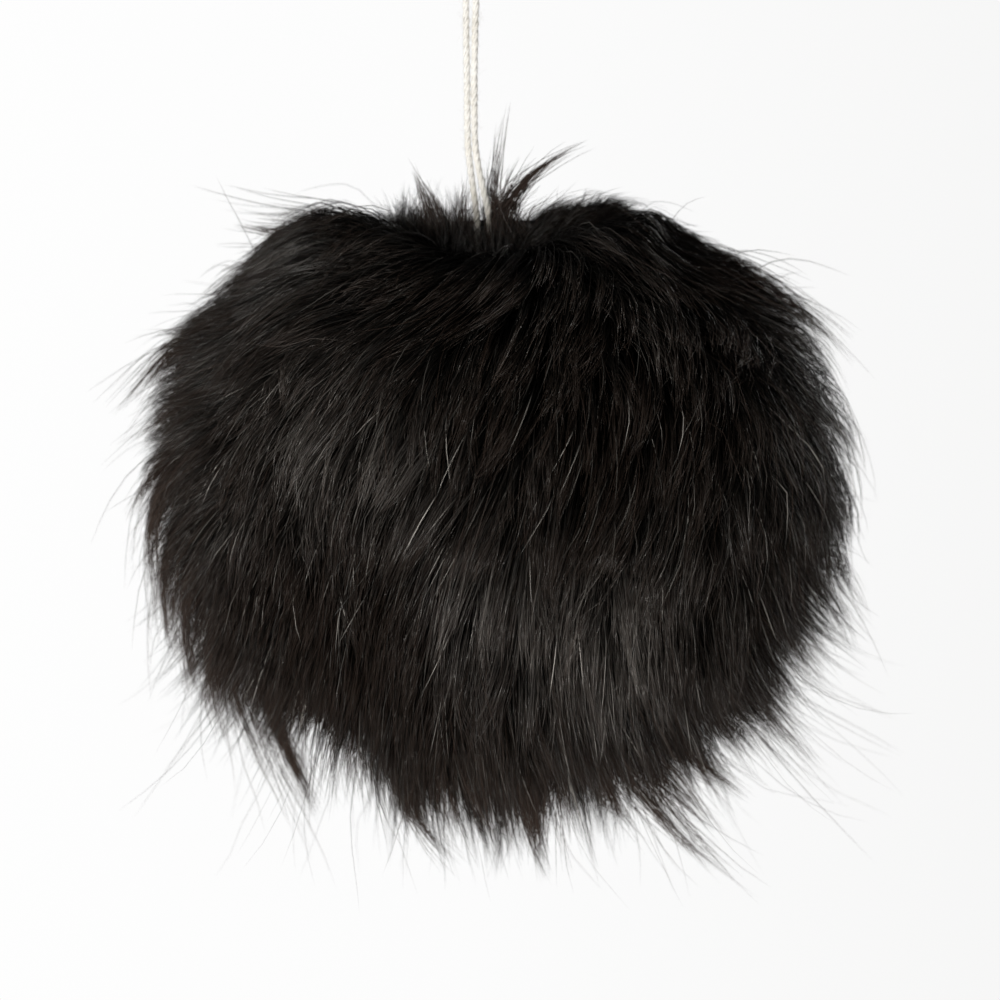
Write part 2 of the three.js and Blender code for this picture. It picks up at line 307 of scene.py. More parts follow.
def cotton_material():
    """Off-white cotton, with painted shade that greys it towards the fur, standing in for the
    shade the fur casts on it, and a faint painted glow further up that stands in for light from
    the bright surroundings.
    """
    made, tree, bsdf = principled("cord_cotton", roughness=0.9, specular=0.15)
    place = object_place(tree)
    coarse = noise(place, 260.0, detail=6.0)
    fine = noise(place, 2600.0, detail=3.0)
    blotches = node(tree, "ShaderNodeMath", fine, 0.45, coarse, operation="MULTIPLY_ADD")
    colour = ramp(blotches.outputs[0], [
        (0.40, (0.47, 0.44, 0.378)), (0.66, (0.592, 0.572, 0.528)),
        (0.95, (0.66, 0.647, 0.617))])
    height = node(tree, "ShaderNodeSeparateXYZ", place).outputs["Z"]

    def between(low, high):
        """0 to 1 over a span of heights in metres."""
        span = node(tree, "ShaderNodeMapRange", Value=height)
        feed(span, "From Min", low)
        feed(span, "From Max", high)
        return span.outputs["Result"]

    # painted shade: the cord's colour is greyed towards the fur, standing in for the shade the fur
    # casts on it
    painted_fur_shade = ramp(between(0.034, 0.054), [
        (0.0, (0.30, 0.295, 0.28)), (0.30, (0.46, 0.455, 0.44)),
        (0.55, (0.78, 0.775, 0.765)), (0.85, 1)])
    feed(bsdf, "Base Color", multiply(colour, painted_fur_shade))
    # painted light: a faint glow that rises with height stands in for light from the bright
    # surroundings
    feed(bsdf, "Emission Strength",
         ramp(between(0.041, 0.078), [(0.0, 0), (0.32, 0.05), (1.0, 0.065)]))
    feed(bsdf, "Emission Color", (1.0, 0.975, 0.94, 1))
    feed(bsdf, "Sheen Weight", 0.1)
    bump(bsdf, fine, strength=0.3, distance=0.00010)
    made.cycles.emission_sampling = "NONE"
    return made


# the browner tips of the pile stand in for light shining through the tips against the bright
# surroundings (painted light)
FUR = hair_material(
    "fur_pile", PILE_TONES, shine=[(0.0, 0.07), (0.30, 0.22), (0.60, 0.50), (1.0, 1.0)],
    tip=(0.033, 0.0225, 0.0172), tip_from=0.66, roughness=0.36)
# the fringe's tips are browner and paler still: painted light shining through them, which shows
# mostly at the outline
FRINGE = hair_material(
    "fur_fringe", PILE_TONES, shine=[(0.0, 0.10), (1.0, 0.35)],
    tip=(0.066, 0.042, 0.031), tip_from=0.30, roughness=0.5)
# the guard hairs carry painted glints: short pale stretches that stand in for highlights
GUARD = hair_material(
    "fur_guard_hair", GUARD_GLINT_TONES, shine=[(0.0, 0.3), (1.0, 0.8)],
    tip=(0.004, 0.0035, 0.003), tip_from=0.99, roughness=0.32, shade=GUARD_PAINTED_GLINT)
FOAM = mottled(
    "foam_open_cell", dark=(0.018, 0.018, 0.019), light=(0.05, 0.05, 0.052), roughness=0.95,
    scale=900, bump_scale=1500, strength=0.9, distance=0.0006, cells=True)
RUBBER = mottled(
    "sleeve_rubber", dark=(0.010, 0.010, 0.011), light=(0.022, 0.022, 0.023), roughness=0.62,
    scale=160, bump_scale=2200, strength=0.25, distance=0.0001)
BACKING = mottled(
    "knit_backing", dark=(0.006, 0.005, 0.0045), light=(0.016, 0.014, 0.012), roughness=0.95,
    scale=700, bump_scale=2600, strength=0.8, distance=0.0002, cells=True)
THREAD = mottled(
    "stitch_thread", dark=(0.012, 0.011, 0.010), light=(0.035, 0.032, 0.028), roughness=0.6,
    scale=2500, bump_scale=6000, strength=0.5, distance=0.00005)
TAPE = tape_material()
COTTON = cotton_material()

# ---------------------------------------------------------------- strands

STEPS = 16              # segments of a strand's path while it is being laid
ALONG = np.linspace(0, 1, STEPS + 1)[None, :, None]
STRAND_TAPER = [(0, 0.8), (0.1, 1.0), (0.55, 0.92), (0.85, 0.55), (1.0, 0.14)]
MAX_TRIS = 190000       # in one object
piece_seeds = itertools.count(900)


def strand_mesh(name, paths, root_radius, band, seed, slide):
    """Closed three-sided strands that taper to a point. band picks a strand's tone, and slide
    moves its shading along it, on the guard hairs where the painted glint sits."""
    count, rings = len(paths), paths.shape[1] - 1
    tangent = tangents(paths)
    start = unit(np.random.default_rng(seed).normal(size=(count, 3)))
    normal = carried_normals(start, tangent)
    binormal = np.cross(tangent, normal)
    radius = root_radius[:, None] * look_up(STRAND_TAPER, np.linspace(0, 1, rings + 1)[:rings])
    angle = np.arange(3)[:, None] * (2 * np.pi / 3)
    ring = paths[:, :rings, None] + radius[:, :, None, None] * (
        np.cos(angle) * normal[:, :rings, None] + np.sin(angle) * binormal[:, :rings, None])
    points = np.concatenate([ring.reshape(count, 3 * rings, 3), paths[:, rings:]], 1)

    sides = tube_quads(rings, 3)
    last = 3 * (rings - 1)
    ends = [2, 1, 0]
    for i in range(3):
        ends += [last + i, last + (i + 1) % 3, last + 3]
    per_strand = 3 * rings + 1
    one_strand = np.concatenate([sides.ravel(), ends])
    corners = (np.arange(count)[:, None] * per_strand + one_strand).ravel()
    mesh = new_mesh(name, points.reshape(-1, 3), corners,
                    np.tile([4] * len(sides) + [3] * 4, count))

    # U stays within the strand's tone band; V runs from root to tip.
    v_points = np.append(np.repeat(np.linspace(0.02, 0.98, rings + 1)[:rings], 3), 0.98)
    offset = np.append(np.tile([-0.22, 0.0, 0.22], rings), 0.0)
    u_points = (band[:, None] + 0.5 + offset) / BANDS
    v_points = np.clip(v_points + slide[:, None], 0.02, 0.98)
    uv = np.stack([u_points, v_points], -1).reshape(-1, 2)[corners]
    layer = mesh.uv_layers.new(name="OFBake")
    layer.data.foreach_set("uv", uv.astype(np.float32).ravel())
    return mesh


def plant(label, roots, paths, radius, segments, surface, tone, slide=0.0):
    """Makes a layer of strands, one gore at a time, in objects of limited size."""
    band = np.clip((tone * BANDS).astype(int), 0, BANDS - 1)
    slide = np.broadcast_to(slide, len(roots))
    steps = np.linspace(0, STEPS, segments + 1)[None, :]
    paths = at_steps(paths, np.arange(len(paths)), steps)
    around = np.degrees(np.arctan2(roots[:, 1], roots[:, 0]))
    for gore, start in GORES.items():
        inside = np.flatnonzero((around - start) % 360 < GORE_SPAN)
        if not len(inside):
            continue
        parts = max(1, math.ceil(len(inside) * (6 * segments - 2) / MAX_TRIS))
        for k, some in enumerate(np.array_split(inside, parts)):
            name = f"fur_{label}_{gore}" + (f"_{k + 1}" if parts > 1 else "")
            mesh = strand_mesh(name, paths[some], radius[some], band[some],
                               next(piece_seeds), slide[some])
            new_object(mesh, surface, "fur")


# ---------------------------------------------------------------- the lie of the pile

LENGTH_NOISE = wave_noise(11, 5.0)
TURN_NOISE = wave_noise(12, 5.0)
FINE_TURN_NOISE = wave_noise(13, 12.0)
REACH_NOISE = wave_noise(14, 5.0)

# How the cover is combed, as a smooth map over the ball seen from the front: power of
# (x / COMB_SCALE), power of (z / COMB_SCALE), sideways part, downward part.
COMB_SCALE = 60
COMB = [
    (0, 0, -0.29, 0.95), (0, 1, -0.37, 0.11), (0, 2, 0.19, 0.23), (0, 3, 1.04, -0.65),
    (0, 4, 0.45, -0.80), (1, 0, -0.47, -0.08), (1, 1, 1.45, 0.28), (1, 2, 2.90, 0.23),
    (1, 3, 0.36, -0.38), (2, 0, 0.00, -0.03), (2, 1, 0.12, -0.25), (2, 2, 0.97, -0.45),
    (3, 0, 0.30, 0.04), (3, 1, -1.68, -0.23), (4, 0, -0.28, -0.06),
]
# Against polar angle in degrees: thickness of the pile (mm), share by which its roots already
# lean over, and length of its strands (mm).
THICKNESS = [
    (20, 11.0), (29, 13.6), (34, 15.1), (40, 15.0), (48, 15.5), (56, 17.2), (69, 20.3),
    (81, 21.6), (94, 22.2), (107, 23.3), (120, 24.7), (140, 27.0), (160, 27.5), (180, 26.5),
]
LEAN = [(20, 0.0), (30, 0.03), (45, 0.12), (60, 0.16), (80, 0.08), (100, 0.0), (130, 0.0),
        (180, 0.0)]
LENGTH = [(25, 23), (36, 30), (60, 33), (90, 35), (120, 36), (150, 35), (180, 32)]
# Where the outline seen from the front stands out from (+) or falls short of (-) a body of
# revolution: degrees clockwise from the top, mm.
OUTLINE = [
    (0, 0.0), (15, 0.5), (30, -0.6), (38, -4.0), (50, -4.2), (58, -3.3), (66, 0.6), (85, 1.6),
    (95, 1.8), (105, 0.0), (116, 0.8), (123, -2.0), (128, -1.0), (134, 0.2), (140, -2.8),
    (145, 0.8), (152, -2.0), (160, -2.6), (166, -2.6), (170, -8.0), (174, -0.5), (181, -0.5),
    (190, -3.0), (195, -0.5), (199, -6.0), (203, -7.8), (206, -10.4), (214, -12.0),
    (217, -7.0), (220, -2.0), (226, -3.4), (234, -1.6), (242, -1.6), (262, -1.4), (272, 0.0),
    (285, -0.8), (297, -4.0), (310, -1.8), (320, 1.0), (330, 1.6), (336, 1.0), (342, -2.6),
    (352, 0.0), (360, 0.0),
]


def spread_roots(count, seed, jitter, top_angle=MOUTH_ANGLE):
    """Directions spread evenly over the backing on a spiral, from top_angle down."""
    top = math.cos(math.radians(top_angle))
    i = np.arange(count) + 0.5
    z = top + (-1.0 - top) * i / count
    around = i * math.pi * (3 - math.sqrt(5))
    across = np.sqrt(np.maximum(0, 1 - z * z))
    rng = np.random.default_rng(seed)
    roots = np.stack([across * np.cos(around), across * np.sin(around), z], 1)
    roots = unit(roots + rng.normal(size=(count, 3)) * jitter * math.sqrt(4 / count))
    too_high = roots[:, 2] > top
    roots[too_high, 2] = top
    roots[too_high, :2] = unit(roots[too_high, :2]) * math.sqrt(1 - top * top)
    return roots


def comb(points, turn, under):
    """Direction the nap takes at points: sideways from the map, then as much in Y as keeps it
    lying on the ball above and hanging below. under is 1 for pile rooted underneath."""
    x = np.clip(points[:, 0] / COMB_SCALE, -1, 1)
    z = np.clip(points[:, 2] / COMB_SCALE, -0.95, 0.72)
    flow = np.zeros((len(points), 2))
    for x_power, z_power, sideways, down in COMB:
        flow += (x ** x_power * z ** z_power)[:, None] * np.array([sideways, down])
    angle = np.arctan2(flow[:, 0], flow[:, 1])
    hanging = np.radians(14 + 26 * x)
    angle = angle * (1 - under) + hanging * under + turn
    angle += ease(x, 0.55, 1.0) * (0.42 + 0.38 * ease(z, -0.25, 0.1))
    angle = np.clip(angle, -1.5, 1.5)
    side, rise = np.sin(angle), -np.cos(angle)
    out_x, out_y, out_z = unit(points).T
    wanted = np.where(out_z > 0, -(side * out_x + rise * out_z), -(side * out_x) * 0.3)
    depth = np.clip(out_y * wanted / (out_y ** 2 + 0.22), -1.3, 1.3)
    depth = depth + 0.12 * out_y * np.clip(-out_z + 0.4, 0, 1)
    return unit(np.stack([side, depth, rise], 1))


def valley(around):
    """1 at the front and back of the mouth, where the pile parts and lies flat; 0 at the sides."""
    front = np.angle(np.exp(1j * (around + math.pi / 2 + 0.14)))
    back = np.angle(np.exp(1j * (around - math.pi / 2 - 0.05)))
    return np.exp(-(front / 0.55) ** 2) + np.exp(-(back / 0.55) ** 2)


def hold_off(points, gap):
    """Pushes points out to at least gap above the backing."""
    distance = np.linalg.norm(points, axis=-1, keepdims=True)
    return points * (np.maximum(distance, BACK_R + gap) / distance)


def envelope(paths):
    """Distance from the centre, polar angle in degrees, and distance of the pile's outline."""
    distance = np.linalg.norm(paths, axis=-1)
    polar = np.degrees(np.arccos(np.clip(paths[..., 2] / distance, -1, 1)))
    clockwise = np.degrees(np.arctan2(paths[..., 0], paths[..., 2])) % 360
    side_on = 1 - ease(np.abs(paths[..., 1]) / distance, 0.30, 0.72)
    limit = BACK_R + look_up(THICKNESS, polar) + look_up(OUTLINE, clockwise) * side_on
    # the upper right shoulder is flatter
    limit = limit - 2.2 * ease(paths[..., 0] / distance, 0.35, 0.7) * ease(polar, 26, 36) * (
        1 - ease(polar, 48, 62))
    return distance, polar, limit


def press(paths):
    """Presses what stands out past the outline most of the way back, less so underneath."""
    distance, polar, limit = envelope(paths)
    give = 0.30 + 0.25 * ease(-paths[..., 0] / distance, 0.5, 0.95) * ease(polar, 50, 65)
    give = np.clip(give + ease(polar, 106, 126), 0, 1)
    over = np.maximum(distance - limit, 0)
    return paths * ((np.minimum(distance, limit) + over * give) / distance)[..., None]


def lay(roots, seed, length=1.0, turning=0.95, spread=1.0, lift=0.0):
    """Strand paths (n, STEPS + 1, 3): straight out at the root, then turning over into the
    combed direction, later where turning is larger."""
    count = len(roots)
    rng = np.random.default_rng(seed)
    polar = np.degrees(np.arccos(np.clip(roots[:, 2], -1, 1)))
    under = ease(polar, 112, 140)
    turn = np.radians(6.0 * TURN_NOISE(roots) + 4.0 * FINE_TURN_NOISE(roots)
                      + 7.0 * spread * rng.normal(size=count))
    parting = valley(np.arctan2(roots[:, 1], roots[:, 0])) * (1 - ease(polar, 36, 62))
    lean = look_up(LEAN, polar) + parting * 0.40 + 0.05 * spread * rng.normal(size=count)
    # the left side is ruffled up, the right side lies close
    ruffled = ease(-roots[:, 0], 0.1, 0.9) * ease(polar, 40, 60) * (1 - ease(polar, 82, 110))
    reach = np.clip(0.93 - 0.30 * ruffled - lift + 0.08 * REACH_NOISE(roots)
                    + 0.07 * spread * rng.normal(size=count), 0.35, 1.1)
    strand = look_up(LENGTH, polar) * (1 + 0.05 * LENGTH_NOISE(roots)) * length
    strand = strand * (1 + 0.10 * ease(roots[:, 0], 0.3, 1.0) * ease(polar, 40, 65)
                       - 0.12 * ease(-roots[:, 0], 0.3, 0.9) * (1 - ease(polar, 90, 125)))
    power = turning * (1 + 0.2 * (1 - ease(polar, 28, 42)))
    wobble = unit(rng.normal(size=(count, 3))) * 0.05 * spread
    paths = np.empty((count, STEPS + 1, 3))
    paths[:, 0] = roots * BACK_R
    for k in range(1, STEPS + 1):
        along = (k - 0.5) / STEPS
        point = paths[:, k - 1]
        combed = comb(point, turn * (0.4 + 0.6 * along), under)
        part = np.clip(lean + (reach - lean) * along ** power, 0, 1.0)
        # swing from straight out towards the combed direction
        between = np.arccos(np.clip((roots * combed).sum(1), -0.999, 0.999))
        step = (np.sin((1 - part) * between)[:, None] * roots
                + np.sin(part * between)[:, None] * combed) / np.sin(between)[:, None]
        step = unit(step + wobble * along)
        paths[:, k] = hold_off(point + step * (strand / STEPS)[:, None], 0.5 + 1.2 * along)
    return press(paths)


def trim(paths, allow):
    """Cuts strands of the underside where they pass the outline by more than allow (n,)."""
    distance, polar, limit = envelope(paths)
    over = np.where(polar > 104, distance - limit - allow[:, None], -1.0)
    over[:, :3] = -1.0
    rows = np.arange(len(paths))
    outside = over > 0
    first = np.argmax(outside, axis=1)
    before, after = over[rows, first - 1], over[rows, first]
    part = np.clip(-before / np.maximum(after - before, 1e-6), 0, 1)
    end = np.where(outside.any(axis=1), first - 1 + part, paths.shape[1] - 1.0)
    return at_steps(paths, rows, np.linspace(0, 1, paths.shape[1])[None, :] * end[:, None])


def nearest(points, queries):
    tree = kdtree.KDTree(len(points))
    for i, point in enumerate(points):
        tree.insert(point, i)
    tree.balance()
    return np.array([tree.find(query)[1] for query in queries])


# ---------------------------------------------------------------- locks that gather the pile

# Big locks, then small locks drawn towards them. Hold is how firmly a lock draws what is in it.
BIG_ROOTS = spread_roots(420, 21, 0.75)
big_rng = np.random.default_rng(22)
BIG_PATHS = lay(BIG_ROOTS, 23, length=1.06 + 0.08 * big_rng.normal(size=len(BIG_ROOTS)),
                spread=1.7)
BIG_HOLD = np.clip(0.58 + 0.20 * ease(-BIG_ROOTS[:, 2], 0.15, 0.6)
                   + 0.24 * big_rng.normal(size=len(BIG_ROOTS)), 0.1, 0.96)

SMALL_ROOTS = spread_roots(4300, 31, 0.7)
small_rng = np.random.default_rng(32)
SMALL_PATHS = lay(SMALL_ROOTS, 33, length=1.0 + 0.08 * small_rng.normal(size=len(SMALL_ROOTS)),
                  spread=1.3)
IN_BIG = nearest(BIG_ROOTS, SMALL_ROOTS)
drawn = BIG_HOLD[IN_BIG][:, None, None] * ALONG ** 1.3
SMALL_PATHS = SMALL_PATHS * (1 - drawn) + BIG_PATHS[IN_BIG] * drawn
SMALL_HOLD = np.clip(0.68 + 0.24 * small_rng.normal(size=len(SMALL_ROOTS)), 0.05, 0.97)


def per_lock(draw, big_seed, small_seed, big_share, small_share):
    """A random value for each small lock, partly shared by all in the same big lock."""
    shared = draw(np.random.default_rng(big_seed), len(BIG_ROOTS))[IN_BIG]
    own = draw(np.random.default_rng(small_seed), len(SMALL_ROOTS))
    return own * small_share + shared * big_share


# How far past the outline a lock may hang (mm), and its tone.
LOCK_ALLOW = per_lock(lambda rng, count: rng.normal(size=count), 43, 44, 2.6, 1.2)
LOCK_TONE = per_lock(lambda rng, count: rng.beta(1.0, 1.6, count), 42, 41, 0.42, 0.58)

# Painted sheen (+) and painted shade (-) on the front, standing in for where light catches the
# pile and where it lies in shade: x, z of the middle, radius (mm), amount.
SHEEN_AND_SHADE_PATCHES = [
    (-31, 4, 8, 0.46), (-16, -3, 8, 0.10), (-4, -22, 9, 0.40), (19, -26, 10, 0.52),
    (15, -42, 9, -0.04), (-27, -25, 10, -0.58), (-8, -46, 9, -0.36), (-48, -24, 8, -0.12),
    (-52, 5, 8, -0.16), (4, 18, 12, -0.14), (17, 0, 9, -0.20), (9, -14, 6, -0.10),
    (-42, 22, 8, -0.04), (-10, 27, 9, -0.12), (-33, 27, 8, 0.12), (30, 12, 14, -0.08),
    (38, -27, 8, -0.06), (34, 25, 9, -0.12),
]


def painted_sheen_and_shade(paths):
    """Painted sheen and shade that the patches add to strands, judged towards their tips, where
    they show.
    """
    shown = paths[:, int(paths.shape[1] * 0.72)]
    added = np.zeros(len(paths))
    for x, z, radius, amount in SHEEN_AND_SHADE_PATCHES:
        apart = (shown[:, 0] - x) ** 2 + (shown[:, 2] - z) ** 2
        added += amount * np.exp(-apart / (2 * radius ** 2))
    return added * ease(-shown[:, 1], -5, 15)


def pile(count, seed, shortest, longest, turning, hold, frizz, spread=1.0, lift=0.0,
         top_angle=MOUTH_ANGLE, fringe=2.6):
    """Roots, paths and tones of a layer of pile gathered into the small locks. Lengths are
    shares of LENGTH; fringe is how raggedly the underside ends, in mm."""
    count = int(count * THIN)
    roots = spread_roots(count, seed, 0.9, top_angle)
    rng = np.random.default_rng(seed + 1)
    length = shortest + (longest - shortest) * rng.uniform(size=count) ** 0.75
    own_turning = np.clip(turning + 0.12 * rng.normal(size=count), 0.35, 1.4)
    paths = lay(roots, seed + 2, length, own_turning, spread, lift)
    lock = nearest(SMALL_ROOTS, roots)
    # a shorter strand meets its lock part of the way along it
    met = np.clip(ALONG[:, :, 0] * length[:, None], 0, 1) * STEPS
    pull = (SMALL_HOLD[lock] * hold)[:, None, None] * ALONG ** 1.1
    paths = paths * (1 - pull) + at_steps(SMALL_PATHS, lock, met) * pull
    # a little wave of its own
    side = unit(rng.normal(size=(count, 3)))[:, None]
    other_side = unit(rng.normal(size=(count, 3)))[:, None]
    swing = frizz * np.exp(0.5 * rng.normal(size=(count, 1, 1)))
    phase = rng.uniform(0, 2 * np.pi, (count, 1, 1))
    waves = rng.uniform(0.7, 2.2, (count, 1, 1))
    paths = paths + swing * ALONG ** 0.7 * (
        np.sin(2 * np.pi * waves * ALONG + phase) * side
        + 0.6 * np.cos(4.3 * np.pi * waves * ALONG + phase) * other_side)
    paths = trim(paths, -1.7 + fringe * rng.exponential(size=count) + LOCK_ALLOW[lock])
    # the strand's tone, with the patches' painted sheen and painted shade added
    tone = (0.82 * LOCK_TONE[lock] - 0.01 + 0.25 * rng.uniform(size=count) ** 1.4
            + 0.26 * (rng.uniform(size=count) < 0.05) + painted_sheen_and_shade(paths))
    return roots, hold_off(paths, 0.2 * ALONG), np.clip(tone, 0.02, 0.98)


SIDE_REACH, LOW_REACH = 71.4, 74.1      # farthest from the axis in X or Y, and farthest down


def keep_in(paths):
    """Shrinks strands that would stand too far out towards their roots, keeping their shape."""
    reach = np.abs(paths[:, :, :2]).max(axis=(1, 2))
    low = -paths[:, :, 2].min(axis=1)
    scale = np.minimum(1, np.minimum(SIDE_REACH / np.maximum(reach, 1),
                                     LOW_REACH / np.maximum(low, 1)))
    long = scale < 1
    start = paths[long, :1]
    paths[long] = start + (paths[long] - start) * (scale[long] ** 2.2)[:, None, None]
    return paths


# ---------------------------------------------------------------- backing


def gore_backing(name, start):
    """A closed shell of knitted backing, its edges rolled in a little at the seams."""
    rows, columns = 44, 40
    polar = np.radians(np.linspace(25.8, 178.6, rows))[:, None]
    seam_gap = np.minimum(math.radians(0.35) / np.maximum(np.sin(polar), 0.03), 0.6)
    first = math.radians(start) + seam_gap
    last = math.radians(start + GORE_SPAN) - seam_gap
    around = first + (last - first) * np.linspace(0, 1, columns)
    direction = on_sphere(polar, around)
    edge = np.exp(-((np.linspace(-1, 1, columns) ** 2 - 1) / 0.05) ** 2)
    mouth = np.exp(-((polar - polar[0]) / 0.05) ** 2)
    outer = (BACK_R + 0.05 - 0.28 * edge - 0.2 * mouth)[..., None] * direction
    points = np.concatenate([outer.reshape(-1, 3), (BACK_INNER_R * direction).reshape(-1, 3)])
    inner_from = rows * columns
    index = np.arange(inner_from).reshape(rows, columns)
    quads = grid_quads(rows, columns).reshape(-1, 4)
    faces = [quads, quads[:, ::-1] + inner_from]
    for rim in (index[0], index[-1][::-1], index[:, 0][::-1], index[:, -1]):
        near, far = rim[:-1], rim[1:]
        faces.append(np.stack([near, far, far + inner_from, near + inner_from], 1))
    return new_mesh(name, points, np.concatenate(faces))


for gore, start in GORES.items():
    new_object(gore_backing(f"backing_{gore}", start), BACKING, "fur", (f"fur_gore_{gore}",))

# ---------------------------------------------------------------- layers of pile

layer_rng = np.random.default_rng(5)


def draw(roots):
    """A random value from 0 to 1 for each strand."""
    return layer_rng.uniform(size=len(roots))


roots, paths, tone = pile(20000, 101, shortest=0.50, longest=0.85, turning=0.62, hold=0.75,
                          frizz=0.28)
plant("under", roots, paths, 0.080 + 0.015 * draw(roots), 5, FUR, tone * 0.7)

roots, paths, tone = pile(40000, 111, shortest=0.70, longest=1.08, turning=0.92, hold=1.0,
                          frizz=0.16)
plant("pile", roots, paths, 0.074 + 0.028 * draw(roots), 6, FUR, tone)

# stiff hairs, each with a painted glint along a stretch of it, the glints dimmed near the mouth as
# painted shade
roots, paths, _ = pile(2500, 121, shortest=0.80, longest=1.10, turning=0.95, hold=0.25,
                       frizz=0.02, spread=1.8, fringe=4.0)
radius = 0.070 + 0.045 * draw(roots) ** 2
# painted shade: the glints fade towards the mouth, where little light falls from above
tone = (1 - 0.65 * ease(roots[:, 2], 0.35, 0.75)) * draw(roots) ** 1.5
plant("guard", roots, paths, radius, 8, GUARD, tone,
      slide=layer_rng.uniform(-0.22, 0.30, len(roots)))

roots, paths, tone = pile(420, 131, shortest=1.05, longest=1.40, turning=1.0, hold=0.1,
                          frizz=0.25, spread=2.2, lift=0.14, fringe=9.0)
paths = keep_in(paths)
# none stands away from the smooth shoulder on the right
tips = paths[:, -1]
calm = (tips[:, 0] < 0) | (tips[:, 2] < 8) | (np.hypot(tips[:, 0], tips[:, 2]) < 62.5)
roots, paths, tone = roots[calm], paths[calm], tone[calm]
plant("stray", roots, paths, 0.036 + 0.02 * draw(roots), 9, FRINGE, tone)

roots, paths, tone = pile(230, 141, shortest=1.25, longest=1.80, turning=1.0, hold=0.15,
                          frizz=0.5, spread=2.4, fringe=16.0, top_angle=112)
plant("stray_low", roots, keep_in(paths), 0.032 + 0.02 * draw(roots), 9, FRINGE, tone)

# ---------------------------------------------------------------- single locks

